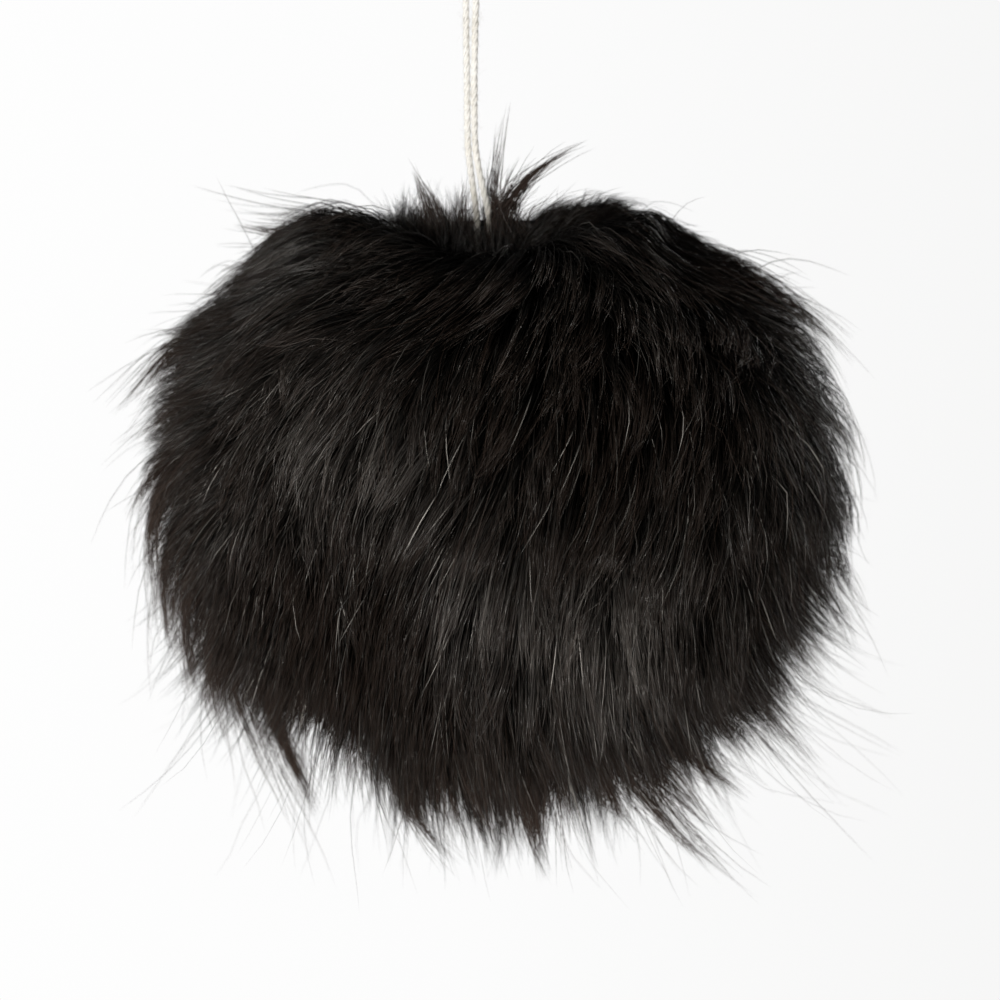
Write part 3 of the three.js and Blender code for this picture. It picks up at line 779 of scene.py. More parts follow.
# Seed, polar and around angle of the root (degrees), hairs, spread of roots and of tips (mm),
# share by which hairs may be shorter, frizz (mm), power of the drawing together; then the
# points the lock runs through after its root.
TUFTS = [
    # round the cord
    (301, 27, 226, 80, 1.3, 0.35, 0.55, 0.25, 1.2,
     [(-10.9, -12, 40.2), (-11.6, -12, 42.9), (-12.8, -12, 45.7), (-14.6, -12, 49.7)]),
    (302, 27, 236, 70, 1.2, 0.4, 0.5, 0.25, 1.2,
     [(-8.7, -12.5, 40.6), (-9.9, -12.5, 43.0), (-11.2, -12.5, 45.2), (-13.1, -12.5, 47.9)]),
    (303, 27, 244, 60, 1.2, 0.8, 0.65, 0.4, 1.0,
     [(-6.0, -14, 40.7), (-6.0, -14, 43.4), (-5.7, -14, 46.1), (-5.4, -14, 49.1)]),
    (304, 27, 278, 60, 1.1, 0.9, 0.7, 0.4, 0.9,
     [(-1.7, -12, 40.6), (-2.0, -12, 44.3), (-1.8, -12, 47.7), (-1.5, -12, 52.4)]),
    (305, 27, 284, 70, 1.1, 0.35, 0.75, 0.3, 1.4,
     [(-1.0, -12, 41.6), (-0.8, -12, 46.0), (0.0, -12, 51.1), (0.7, -12, 56.1),
      (1.7, -12, 61.2)]),
    (306, 27, 290, 34, 1.2, 1.2, 0.7, 0.5, 0.9,
     [(-0.3, -11.5, 41.6), (0.5, -11.5, 46.0), (1.7, -11.5, 49.3), (4.0, -11.5, 53.4)]),
    (307, 28, 284, 190, 1.6, 0.55, 0.7, 0.35, 1.05,
     [(-0.2, -13, 40.3), (1.5, -13, 43.7), (4.4, -12.5, 47.0), (7.4, -12, 49.7),
      (10.7, -12, 51.9), (15.4, -12, 54.1)]),
    (308, 28, 288, 80, 1.6, 1.2, 0.7, 0.4, 0.9,
     [(1.2, -13, 40.7), (3.0, -13, 43.3), (5.4, -12.5, 45.3), (7.9, -12, 47.0)]),
    (309, 28, 300, 30, 1.8, 1.2, 0.7, 0.4, 1.0,
     [(3.7, -12, 41.9), (6.5, -12, 43.3), (9.1, -12, 44.5), (11.4, -12, 46.0)]),
    (310, 29, 312, 26, 1.8, 0.9, 0.6, 0.3, 1.0,
     [(9.6, -11, 42.9), (13.8, -10, 44.2), (17.2, -10, 45.2), (20.9, -10, 46.0)]),
    # the big lock low on the left, and looser hairs by it
    (311, 108, 192, 420, 4.2, 0.5, 0.42, 0.4, 0.85,
     [(-39.7, -10, -23.5), (-41.7, -10, -32.8), (-39.7, -9, -40.9), (-36.6, -8, -47.8),
      (-33.5, -8, -54.2), (-30.2, -8, -62.0)]),
    (312, 104, 190, 150, 3.4, 1.6, 0.6, 0.5, 0.8,
     [(-44.2, -8, -27.1), (-45.9, -8, -37.3), (-43.5, -8, -44.4), (-39.8, -8, -51.9),
      (-36.1, -8, -58.7)]),
    (313, 128, 216, 70, 2.6, 1.0, 0.5, 0.5, 1.0,
     [(-28.2, -12, -36.7), (-31.8, -10, -41.7), (-34.4, -9, -46.5), (-34.1, -8, -51.5),
      (-32.0, -8, -57.0)]),
    (314, 112, 192, 26, 3.4, 1.8, 0.5, 0.6, 0.8,
     [(-42.7, -6, -30.8), (-42.6, -6, -41.0), (-38.9, -6, -51.2), (-32.6, -6, -61.4),
      (-29.7, -6, -69.5)]),
    # fringe to the right of it
    (315, 134, 222, 100, 3.0, 1.2, 0.6, 0.5, 0.8,
     [(-25.0, -18, -32.5), (-26.2, -17, -39.3), (-25.6, -16, -46.2), (-24.4, -16, -52.1),
      (-23.1, -16, -57.3)]),
    (316, 137, 228, 110, 3.0, 1.1, 0.6, 0.5, 0.8,
     [(-22.6, -20, -37.2), (-23.3, -19, -44.1), (-22.0, -18, -50.9), (-20.3, -18, -59.7)]),
    (317, 140, 236, 230, 3.0, 0.8, 0.62, 0.4, 0.95,
     [(-17.6, -22, -41.9), (-17.6, -21, -49.6), (-15.1, -20, -57.6), (-11.0, -19, -63.8),
      (-6.0, -19, -68.2)]),
    (318, 142, 246, 160, 3.0, 1.4, 0.62, 0.5, 0.85,
     [(-9.6, -24, -45.0), (-10.0, -23, -53.5), (-7.6, -22, -60.6), (-5.8, -22, -67.0)]),
    (319, 142, 256, 130, 3.0, 1.6, 0.62, 0.5, 0.85,
     [(-4.6, -26, -44.7), (-4.0, -25, -53.1), (-1.7, -24, -60.3), (0.8, -24, -65.3)]),
    # the pointed lock at the bottom
    (320, 142, 276, 420, 3.6, 0.45, 0.55, 0.4, 0.9,
     [(5.5, -27, -44.5), (5.5, -25, -53.1), (5.5, -24, -59.6), (6.3, -23, -64.8),
      (8.6, -23, -70.1)]),
    (321, 146, 285, 120, 3.0, 1.8, 0.6, 0.5, 0.8,
     [(10.3, -24, -48.3), (10.3, -23, -55.1), (11.0, -22, -61.1), (12.8, -22, -66.7)]),
    # locks swept down to the right
    (322, 142, 300, 430, 3.4, 0.55, 0.55, 0.35, 0.95,
     [(13.6, -24, -41.6), (15.3, -22, -50.0), (18.5, -21, -55.5), (21.0, -20, -59.3),
      (23.6, -20, -62.0)]),
    (323, 140, 306, 260, 3.2, 1.5, 0.65, 0.5, 0.8,
     [(17.3, -22, -41.9), (20.6, -20, -49.9), (26.3, -19, -56.8), (31.7, -18, -63.7),
      (41.7, -18, -71.7)]),
    (324, 136, 312, 330, 3.2, 1.0, 0.6, 0.4, 0.85,
     [(21.3, -20, -40.6), (24.7, -18, -50.3), (30.4, -17, -55.3), (34.8, -16, -60.3),
      (37.4, -16, -62.7)]),
    (325, 128, 318, 430, 3.4, 0.75, 0.55, 0.4, 0.9,
     [(23.0, -18, -37.5), (27.7, -16, -45.5), (34.1, -15, -50.4), (38.9, -14, -54.1),
      (42.9, -14, -57.1)]),
    (326, 124, 322, 260, 3.2, 1.0, 0.58, 0.4, 0.85,
     [(28.7, -16, -34.8), (35.8, -14, -41.8), (40.6, -13, -47.0), (43.6, -12, -52.6)]),
    (327, 118, 328, 230, 3.4, 2.0, 0.65, 0.5, 0.8,
     [(34.7, -14, -31.4), (42.3, -12, -39.1), (47.4, -11, -45.0), (52.1, -10, -50.2),
      (56.5, -10, -54.9)]),
    (328, 112, 334, 260, 3.4, 1.4, 0.6, 0.4, 0.85,
     [(41.0, -12, -23.2), (49.1, -10, -30.2), (53.9, -9, -35.8), (58.0, -8, -39.7)]),
    (329, 104, 340, 160, 3.0, 1.2, 0.6, 0.4, 0.85,
     [(47.4, -10, -13.3), (55.6, -8, -22.0), (58.7, -7, -28.6), (60.8, -6, -34.5)]),
    (330, 98, 346, 60, 3.0, 1.8, 0.6, 0.4, 0.85,
     [(49.2, -8, -8.5), (57.8, -6, -17.2), (60.9, -5, -24.1), (63.2, -5, -30.9)]),
    # behind
    (331, 148, 60, 90, 2.6, 1.2, 0.5, 0.35, 1.0,
     [(10.8, 20, -55.3), (13.4, 21, -64.2), (17.7, 21, -71.2)]),
    (332, 145, 120, 90, 2.6, 1.2, 0.5, 0.35, 1.0,
     [(-11.8, 22, -55.7), (-10.1, 22, -64.4), (-7.5, 22, -71.4)]),
    # ruffled locks of the left side
    (333, 68, 186, 150, 3.4, 1.3, 0.55, 0.35, 0.9,
     [(-50.4, -5, 21.8), (-56.3, -6, 18.1), (-60.8, -6, 12.0), (-65.5, -6, 6.9)]),
    (334, 74, 188, 130, 3.0, 1.1, 0.55, 0.35, 0.9,
     [(-49.4, -7, 15.2), (-55.0, -8, 9.5), (-59.8, -8, 5.1), (-64.4, -8, 1.7)]),
    (335, 82, 190, 240, 3.2, 0.5, 0.5, 0.35, 0.95,
     [(-49.3, -9, 9.4), (-53.5, -9, 2.8), (-58.9, -9, -3.3), (-61.8, -9, -7.7),
      (-62.6, -9, -10.7)]),
    (336, 92, 190, 110, 3.0, 0.8, 0.5, 0.35, 0.9,
     [(-50.1, -10, 1.9), (-55.1, -11, -5.8), (-58.1, -11, -10.2), (-59.7, -11, -13.9)]),
    (337, 98, 186, 110, 3.2, 1.0, 0.55, 0.35, 0.9,
     [(-50.4, -4, -10.6), (-53.8, -4, -20.9), (-55.2, -4, -28.5), (-55.5, -4, -35.2)]),
    (338, 104, 186, 110, 3.2, 1.0, 0.55, 0.35, 0.9,
     [(-47.9, -4, -17.5), (-51.1, -4, -29.4), (-52.1, -4, -37.9), (-52.5, -4, -44.3)]),
    (339, 110, 188, 110, 3.2, 1.0, 0.55, 0.35, 0.9,
     [(-44.4, -6, -24.0), (-47.6, -6, -34.2), (-48.0, -6, -41.0), (-46.3, -6, -48.1)]),
    # left side, hanging down over each other
    (351, 84, 195, 150, 3.2, 1.0, 0.6, 0.35, 0.9,
     [(-49.0, -12, 3.0), (-56.0, -12, -3.0), (-58.8, -12, -11.0), (-58.6, -12, -19.0),
      (-57.2, -12, -26.0)]),
    (352, 86, 178, 130, 3.2, 1.0, 0.6, 0.35, 0.9,
     [(-50.0, 2, 2.0), (-57.0, 2, -4.0), (-59.6, 2, -12.0), (-59.4, 2, -20.0),
      (-58.2, 2, -26.5)]),
    (353, 93, 194, 150, 3.2, 0.9, 0.6, 0.35, 0.9,
     [(-48.5, -11, -5.0), (-55.0, -11, -12.0), (-56.8, -11, -20.0), (-56.2, -11, -28.0),
      (-54.2, -11, -35.0)]),
    (354, 95, 177, 130, 3.2, 1.0, 0.6, 0.35, 0.9,
     [(-49.0, 3, -6.0), (-55.6, 3, -13.0), (-57.6, 3, -21.0), (-57.0, 3, -29.0),
      (-55.2, 3, -35.5)]),
    (355, 101, 194, 150, 3.2, 0.9, 0.6, 0.35, 0.9,
     [(-46.5, -11, -13.0), (-52.6, -11, -21.0), (-53.6, -11, -29.0), (-52.2, -11, -36.0),
      (-50.0, -11, -43.0)]),
    (356, 103, 177, 130, 3.2, 1.0, 0.6, 0.35, 0.9,
     [(-46.5, 3, -15.0), (-52.8, 3, -23.0), (-53.8, 3, -31.0), (-52.4, 3, -38.0),
      (-50.4, 3, -44.5)]),
    (357, 109, 196, 150, 3.2, 0.9, 0.6, 0.35, 0.9,
     [(-42.5, -12, -21.0), (-48.5, -12, -30.0), (-49.2, -12, -37.0), (-47.4, -12, -43.5),
      (-44.6, -12, -50.5)]),
    (358, 111, 178, 120, 3.2, 1.0, 0.6, 0.35, 0.9,
     [(-42.0, 2, -23.0), (-47.6, 2, -32.0), (-48.4, 2, -39.0), (-46.2, 2, -46.0),
      (-43.0, 2, -53.0)]),
    # left shoulder
    (340, 40, 176, 44, 2.4, 0.9, 0.66, 0.3, 1.0,
     [(-28.6, 2, 40.7), (-35.4, 2, 40.7), (-40.9, 2, 40.3), (-46.3, 2, 41.0),
      (-50.4, 2, 41.8)]),
    (341, 44, 190, 80, 2.2, 0.5, 0.5, 0.3, 1.1,
     [(-30.1, -4, 37.7), (-35.9, -5, 38.3), (-40.9, -5, 38.6), (-46.0, -5, 39.6)]),
    (342, 38, 182, 5, 2.2, 1.5, 0.45, 0.3, 1.0,
     [(-28.5, -1, 42.3), (-37.0, -1, 42.8), (-48.2, -1, 46.4), (-57.4, -1, 50.0)]),
    (343, 56, 184, 60, 3.0, 1.3, 0.55, 0.35, 0.9,
     [(-43.7, -3, 33.2), (-48.1, -3, 29.1), (-52.2, -3, 24.7)]),
    # right shoulder
    (344, 60, 352, 70, 3.0, 1.3, 0.6, 0.35, 0.9,
     [(46.0, -4, 28.5), (53.7, -4, 23.4), (58.9, -4, 18.0), (62.6, -4, 13.2)]),
    (345, 50, 354, 110, 2.8, 0.9, 0.6, 0.3, 0.9,
     [(37.6, -4, 34.5), (46.9, -4, 29.4), (53.2, -4, 23.7), (57.2, -4, 19.1)]),
    (359, 42, 352, 240, 3.0, 0.7, 0.6, 0.3, 0.9,
     [(28.6, -4, 38.3), (37.1, -4, 33.8), (44.8, -4, 28.3), (50.0, -4, 23.2)]),
    (360, 44, 338, 220, 3.0, 0.8, 0.6, 0.3, 0.9,
     [(29.5, -14, 35.0), (37.2, -14, 30.3), (44.1, -14, 24.9), (49.2, -13, 19.7)]),
    (361, 46, 6, 220, 3.0, 0.8, 0.6, 0.3, 0.9,
     [(30.3, 5, 36.6), (38.9, 5, 31.8), (46.1, 5, 26.0), (51.2, 5, 20.8)]),
]


def spaced(points, count):
    """count points evenly spaced along the straight stretches between points."""
    points = np.array(points, float)
    lengths = np.linalg.norm(np.diff(points, axis=0), axis=1)
    distance = np.concatenate([[0], np.cumsum(lengths)])
    wanted = np.linspace(0, distance[-1], count)
    return np.stack([np.interp(wanted, distance, points[:, i]) for i in range(3)], 1)


def tuft(seed, polar, around, hairs, root_spread, tip_spread, short, frizz, pull, way):
    """Roots and paths of a lock that runs through way, drawn together towards its tip."""
    count = max(3, int(hairs * max(THIN, 0.6)))
    rng = np.random.default_rng(seed)
    centre = on_sphere(math.radians(polar), math.radians(around))
    offset = rng.normal(size=(count, 3))
    offset -= (offset @ centre)[:, None] * centre
    roots = unit(centre * BACK_R + offset * root_spread)
    roots[:, 2] = np.minimum(roots[:, 2], math.cos(math.radians(MOUTH_ANGLE)))
    roots = unit(roots)
    guide = spaced([centre * BACK_R, *way], STEPS + 1)
    for _ in range(3):
        guide[1:-1] = 0.25 * guide[:-2] + 0.5 * guide[1:-1] + 0.25 * guide[2:]
    reach = 1 - short * rng.uniform(size=(count, 1)) ** 0.8
    steps = np.clip(ALONG[:, :, 0] * reach, 0, 1) * STEPS
    paths = at_steps(guide[None], np.zeros(count, int), steps)
    from_centre = (roots * BACK_R - centre * BACK_R)[:, None]
    stray = rng.normal(size=(count, 1, 3)) * tip_spread
    loose = np.exp(0.75 * rng.normal(size=(count, 1, 1)))
    paths = (paths + from_centre * (1 - ALONG * reach[:, :, None]) ** pull
             + stray * loose * ALONG ** 1.3)
    side = unit(rng.normal(size=(count, 1, 3)))
    other_side = unit(rng.normal(size=(count, 1, 3)))
    waves = rng.uniform(0.6, 1.8, (count, 1, 1))
    phase = rng.uniform(0, 6.28, (count, 1, 1))
    paths = paths + frizz * ALONG * (
        side * np.sin(2 * np.pi * waves * ALONG + phase)
        + 0.5 * other_side * np.sin(4.7 * np.pi * waves * ALONG + phase))
    return roots, hold_off(paths, 0.2 * ALONG)


tufts = [tuft(*row) for row in TUFTS]
roots = np.concatenate([tuft_roots for tuft_roots, _ in tufts])
paths = keep_in(np.concatenate([tuft_paths for _, tuft_paths in tufts]))
radius = 0.057 + 0.026 * draw(roots)
plant("lock", roots, paths, radius, 9, FRINGE, 0.12 + 0.6 * draw(roots))

# ---------------------------------------------------------------- hairs of the mouth's edge


def plant_mouth_edge():
    """Hairs that stand up round the hem: short by the cord, long and swept over to the right
    on the right side, and leaning a little left on the left."""
    everywhere, front_and_back = int(4200 * THIN), int(2400 * THIN)
    count = everywhere + front_and_back
    rng = np.random.default_rng(401)
    around = np.concatenate([
        rng.uniform(0, 2 * np.pi, everywhere),
        rng.choice([-1, 1], front_and_back) * np.radians(rng.uniform(2, 80, front_and_back))])
    polar = np.radians(25.7 + 4.6 * rng.uniform(size=count) ** 1.3)
    roots = on_sphere(polar, around)
    clump = wave_noise(402, 26.0)(roots) * 0.16 + wave_noise(403, 60.0)(roots) * 0.10
    right = ease(roots[:, 0], 0.03, 0.17)
    by_cord = np.exp(-((roots[:, 0] * BACK_R + 2.6) / 3.2) ** 2) * (roots[:, 1] < 0)
    length = (8.0 + 1.9 * rng.normal(size=count) + 9.0 * clump) * (1 - right)
    length = length + (10.9 + 1.5 * rng.normal(size=count) + 3.0 * clump) * right
    length = np.clip(length - 2.6 * by_cord, 2.4, 14.5)
    length = length * (1 - 0.35 * rng.uniform(size=count) ** 2.5)
    flat = np.zeros(count)
    inward = -np.stack([np.cos(around), np.sin(around), flat], 1)
    sideways = np.stack([-np.sin(around), np.cos(around), flat], 1) * (
        rng.normal(size=(count, 1)) * 0.24
        + 2.2 * wave_noise(404, 24.0)(roots)[:, None] * 0.12)
    sweep = np.array([1.0, 0, 0]) * (right - 0.32 * (1 - ease(roots[:, 0], -0.08, 0.06)))[:, None]
    lean_in = (rng.uniform(-0.35, 0.60, count) + 1.2 * clump)[:, None]
    bend = inward * lean_in + sideways + sweep
    right = right[:, None]
    paths = np.empty((count, STEPS + 1, 3))
    paths[:, 0] = roots * BACK_R
    for k in range(1, STEPS + 1):
        along = (k - 0.5) / STEPS
        rise = (1.05 - 0.55 * along) * (1 - right) + (1.05 - 1.25 * along ** 2.6) * right
        turn = (0.25 + 1.1 * along) * (1 - right) + (0.16 + 1.0 * along ** 1.8) * right
        step = unit(np.array([0, 0, 1.0]) * rise + bend * turn)
        paths[:, k] = paths[:, k - 1] + step * (length / STEPS)[:, None]
    radius = 0.055 + 0.02 * rng.uniform(size=count)
    tone = 0.05 + 0.55 * rng.uniform(size=count)
    plant("mouth_edge", roots, paths, radius, 6, FUR, tone)


plant_mouth_edge()

# ---------------------------------------------------------------- turned pieces


def revolve(radius, z, around):
    """Points (around, m, 3) of a turned profile; radius and z are (m,) or (around, m)."""
    angle = np.linspace(0, 2 * np.pi, around, endpoint=False)[:, None]
    return np.stack(np.broadcast_arrays(
        radius * np.cos(angle), radius * np.sin(angle), z), -1)


def ring_mesh(name, points):
    """A closed ring from revolved points whose profile closes on itself."""
    quads = grid_quads(*points.shape[:2], wrap_rows=True, wrap_columns=True)
    return new_mesh(name, points.reshape(-1, 3), quads.reshape(-1, 4))


def rounded(corners, radius, steps):
    """A closed (r, z) profile with its corners rounded."""
    corners = np.array(corners, float)
    profile = []
    for i, corner in enumerate(corners):
        back, ahead = corners[i - 1] - corner, corners[(i + 1) % len(corners)] - corner
        back_length, ahead_length = np.linalg.norm(back), np.linalg.norm(ahead)
        cut = min(radius, back_length * 0.45, ahead_length * 0.45)
        start, end = corner + back / back_length * cut, corner + ahead / ahead_length * cut
        for part in np.linspace(0, 1, steps + 1):
            profile.append((1 - part) ** 2 * start + 2 * part * (1 - part) * corner
                           + part * part * end)
    return np.array(profile)


SLEEVE_BORE_R = 10.05
SLEEVE_GROOVE_R = 10.3
SLEEVE_PITCH = 2.6      # of the grooves between the ribs of the bore
# (r, z) up the outside, over the collar and the lip, to the top of the bore.
SLEEVE_OUTSIDE = [
    (12.0, 12.0), (12.0, 29.8), (15.2, 29.8), (15.2, 31.8), (11.4, 31.8), (11.4, 37.8),
    (12.4, 38.1), (12.4, 39.4), (10.45, 39.4), (SLEEVE_BORE_R, 38.6),
]


def sleeve_mesh():
    profile = list(SLEEVE_OUTSIDE)
    for z in np.arange(36.4, 13.0, -SLEEVE_PITCH):
        profile += [(SLEEVE_BORE_R, z + 0.9), (SLEEVE_GROOVE_R, z + 0.55),
                    (SLEEVE_GROOVE_R, z - 0.55), (SLEEVE_BORE_R, z - 0.9)]
    profile.append((SLEEVE_BORE_R, 12.0))
    radius, z = rounded(profile, radius=0.28, steps=3).T
    return ring_mesh("sleeve_moulded", revolve(radius, z, 160))


new_object(sleeve_mesh(), RUBBER, "sleeve_rubber", ("mic_sleeve",))

FOAM_R = 35.4
FOAM_TOP_Z = 32.0
# (r, z) from the opening down the stepped socket and in across its floor.
FOAM_SOCKET = [
    (16.2, FOAM_TOP_Z), (15.6, 31.8), (15.5, 31.2), (15.5, 29.5), (12.3, 29.5), (12.3, 20.0),
    (12.3, 11.7), (10.6, 11.7), (10.5, 7.0), (10.4, 3.0), (10.3, 0.2), (10.1, 0.0), (6.0, 0.0),
    (3.0, 0.0),
]


def foam_mesh():
    """Foam ball with a blind socket, its skin roughened at the size of the foam's cells."""
    around, arc_steps = 128, 60
    end = math.acos(FOAM_TOP_Z / FOAM_R)
    angle = math.pi - (math.pi - end) * np.arange(1, arc_steps + 1) / arc_steps
    arc = np.stack([np.sin(angle), np.cos(angle)], 1) * FOAM_R
    radius, z = np.concatenate([arc, FOAM_SOCKET]).T
    points = revolve(radius, z, around).reshape(-1, 3)
    rough = np.abs(wave_noise(51, 1.9, 40)(points)[:, None] * 0.05)
    skin = np.linalg.norm(points, axis=1, keepdims=True) > 30
    points = points - unit(points) * rough * skin
    points = np.concatenate([points, [[0, 0, -FOAM_R], [0, 0, 0.0]]])
    per_turn = len(radius)
    quads = grid_quads(around, per_turn, wrap_rows=True).swapaxes(0, 1).reshape(-1, 4)
    first = np.arange(around) * per_turn
    following = np.roll(first, -1)
    bottom = np.full(around, around * per_turn)
    caps = np.concatenate([
        np.stack([bottom, following, first], 1),
        np.stack([bottom + 1, first + per_turn - 1, following + per_turn - 1], 1)])
    return new_mesh("foam_ball", points, np.concatenate([quads.ravel(), caps.ravel()]),
                    [4] * len(quads) + [3] * len(caps))


new_object(foam_mesh(), FOAM, "foam", ("foam_core",))


def tube(path, radius, sides):
    """Points, corners and face sizes of a round tube with flat ends."""
    path = np.asarray(path, float)
    rings = len(path)
    tangent = tangents(path)
    normal = carried_normals(np.array([0.31, 0.52, 0.79]), tangent)
    binormal = np.cross(tangent, normal)
    radius = np.broadcast_to(radius, rings)[:, None, None]
    angle = (np.arange(sides) * 2 * np.pi / sides)[:, None]
    points = path[:, None] + radius * (
        np.cos(angle) * normal[:, None] + np.sin(angle) * binormal[:, None])
    quads = tube_quads(rings, sides)
    end = np.arange(sides)
    corners = np.concatenate([quads.ravel(), end[::-1], (rings - 1) * sides + end])
    return points.reshape(-1, 3), corners, [4] * len(quads) + [sides] * 2


def tubes_mesh(name, tubes):
    """One mesh of several tubes."""
    points, corners, sizes = zip(*tubes)
    first = np.cumsum([0] + [len(some) for some in points[:-1]])
    corners = [some + start for some, start in zip(corners, first)]
    return new_mesh(name, np.concatenate(points), np.concatenate(corners),
                    np.concatenate(sizes))


# ---------------------------------------------------------------- mouth hem and stitching

HEM_HALF_WIDTH, HEM_HALF_HEIGHT = 1.75, 2.35
HEM_STITCHES = 46


def hem_mesh():
    """Folded tape casing, gathered into small puckers, with a hole where the cord leaves."""
    around = 240
    profile = rounded([
        (HEM_R - HEM_HALF_WIDTH, HEM_Z - HEM_HALF_HEIGHT),
        (HEM_R + HEM_HALF_WIDTH, HEM_Z - HEM_HALF_HEIGHT),
        (HEM_R + HEM_HALF_WIDTH, HEM_Z + HEM_HALF_HEIGHT),
        (HEM_R - HEM_HALF_WIDTH, HEM_Z + HEM_HALF_HEIGHT)], radius=1.1, steps=5)
    angle = np.linspace(0, 2 * np.pi, around, endpoint=False)
    rng = np.random.default_rng(61)
    pucker = sum(rng.uniform(0.4, 1) * np.sin(k * angle + rng.uniform(0, 6.28))
                 for k in range(19, 33, 2)) / 3.2
    scale = 1 - 0.05 * (1 + pucker)[:, None]
    across, up = (profile - np.array([HEM_R, HEM_Z])).T
    points = revolve(HEM_R + across * scale, HEM_Z + up * scale, around)
    # the lips of the hole fold down into the casing
    from_x, from_y = points[:, :, 0] - EXIT_X, points[:, :, 1] - EXIT_Y
    hole = np.exp(-((from_x / 2.1) ** 4 + (from_y / 0.85) ** 4))
    points[:, :, 2] -= 2.6 * (hole * ease(points[:, :, 2], HEM_Z + 0.8, HEM_Z + 2.0))
    return ring_mesh("hem_casing", points)


def hem_stitches():
    """Short arched stitches on top of the casing, left out round the cord's hole."""
    stitches = []
    part = np.linspace(-1, 1, 9)
    for k in range(HEM_STITCHES):
        middle = 2 * math.pi * k / HEM_STITCHES
        x, y = HEM_R * math.cos(middle), HEM_R * math.sin(middle)
        if math.hypot(x - EXIT_X, (y - EXIT_Y) * 1.5) < 3.4:
            continue
        angle, radius = middle + part * 0.052, HEM_R + 0.25 * part
        path = np.stack([radius * np.cos(angle), radius * np.sin(angle),
                         HEM_Z + 2.28 + 0.28 * (1 - part * part)], 1)
        stitches.append(tube(path, 0.13, 7))
    return tubes_mesh("hem_stitches", stitches)


def overlock(name, degrees):
    """A zigzag of thread wound along a seam's turned edge."""
    seam = math.radians(degrees)
    part = np.linspace(0, 1, 620)
    polar = np.radians(27.5 + (176.2 - 27.5) * part)
    winding = part * 2 * math.pi * 62
    radius = 36.15 + 0.22 * np.sin(winding)
    sideways = np.array([-math.sin(seam), math.cos(seam), 0])
    path = on_sphere(polar, seam) * radius[:, None] + sideways * (
        0.42 * np.cos(winding))[:, None]
    return tubes_mesh(name, [tube(path, 0.11, 6)])


new_object(hem_mesh(), TAPE, "hem_tape", ("mouth_hem",))
new_object(hem_stitches(), THREAD, "thread", ("hem_stitching",))
for label, degrees in (("front_right", -45), ("back_right", 45), ("back_left", 135),
                       ("front_left", 225)):
    new_object(overlock(f"overlock_{label}", degrees), THREAD, "thread", (f"seam_{label}",))

# ---------------------------------------------------------------- drawcord

PLY_R = 0.31
# (x, z) of each leg, from the casing up to the knot.
LEFT_LEG = [
    (-3.3, 34.9), (-3.4, 38.0), (-3.6, 42.0), (-3.95, 44.8), (-4.55, 48.8), (-5.05, 52.8),
    (-5.12, 58.0), (-5.15, 63.4), (-5.3, 73.3), (-5.4, 82.0), (-5.55, 86.9),
]
RIGHT_LEG = [
    (-1.2, 34.9), (-1.25, 38.0), (-1.5, 42.0), (-2.2, 44.8), (-3.15, 48.8), (-3.85, 52.8),
    (-3.92, 58.0), (-3.95, 63.4), (-3.8, 73.3), (-3.4, 82.0), (-3.25, 86.9),
]
# Each leg is cut where it hangs straight on one body, so every length bends at one hinge:
# part, bottom and top z, lower and upper body, z where the bend starts and ends.
SPANS = [
    ("root", 34.95, 41.5, "windscreen", "cord_draw", 35.5, 41.0),
    ("low", 41.5, 48.2, "cord_draw", "cord_lean", 42.2, 47.8),
    ("middle", 48.2, 60.0, "cord_lean", "cord_swing", 48.4, 53.6),
    ("top", 60.0, 86.9, "cord_swing", "cord_end", 64.5, 73.5),
]
KNOT_X, KNOT_Y, KNOT_Z = -4.4, EXIT_Y, 88.8
LEFT_TAIL = [(-4.9, -13.6, 90.6), (-5.2, -13.6, 91.6), (-5.7, -13.7, 93.8), (-6.8, -13.9, 96.4)]
RIGHT_TAIL = [(-3.9, -13.6, 90.6), (-3.6, -13.6, 91.6), (-3.1, -13.5, 94.4), (-2.7, -13.2, 97.9)]


def smooth_line(points, count):
    """A line of count points through points, its corners rounded by a running mean."""
    line = spaced(points, count)
    half = max(1, int(count / len(points) / 3))
    for _ in range(3):
        padded = np.concatenate([np.repeat(line[:1], half, 0), line,
                                 np.repeat(line[-1:], half, 0)])
        total = np.cumsum(np.concatenate([np.zeros((1, 3)), padded]), axis=0)
        mean = (total[2 * half + 1:] - total[:-2 * half - 1]) / (2 * half + 1)
        line[1:-1] = mean[1:-1]
    return line


def plies(line, phase, seed, pitch=4.6, helix_r=0.26, count=3):
    """Centre lines of a cord's twisted plies along line."""
    tangent = tangents(line)
    normal = carried_normals(np.array([0.0, 1.0, 0.05]), tangent)
    binormal = np.cross(tangent, normal)
    lengths = np.linalg.norm(np.diff(line, axis=0), axis=1)
    distance = np.concatenate([[0], np.cumsum(lengths)])
    uneven = np.random.default_rng(seed).normal(size=40)
    radius = helix_r + 0.03 * np.interp(distance, np.linspace(0, distance[-1], 40), uneven)
    lines = []
    for k in range(count):
        angle = (2 * np.pi * (distance / pitch + k / count) + phase)[:, None]
        lines.append(line + radius[:, None] * (np.cos(angle) * normal
                                               + np.sin(angle) * binormal))
    return lines


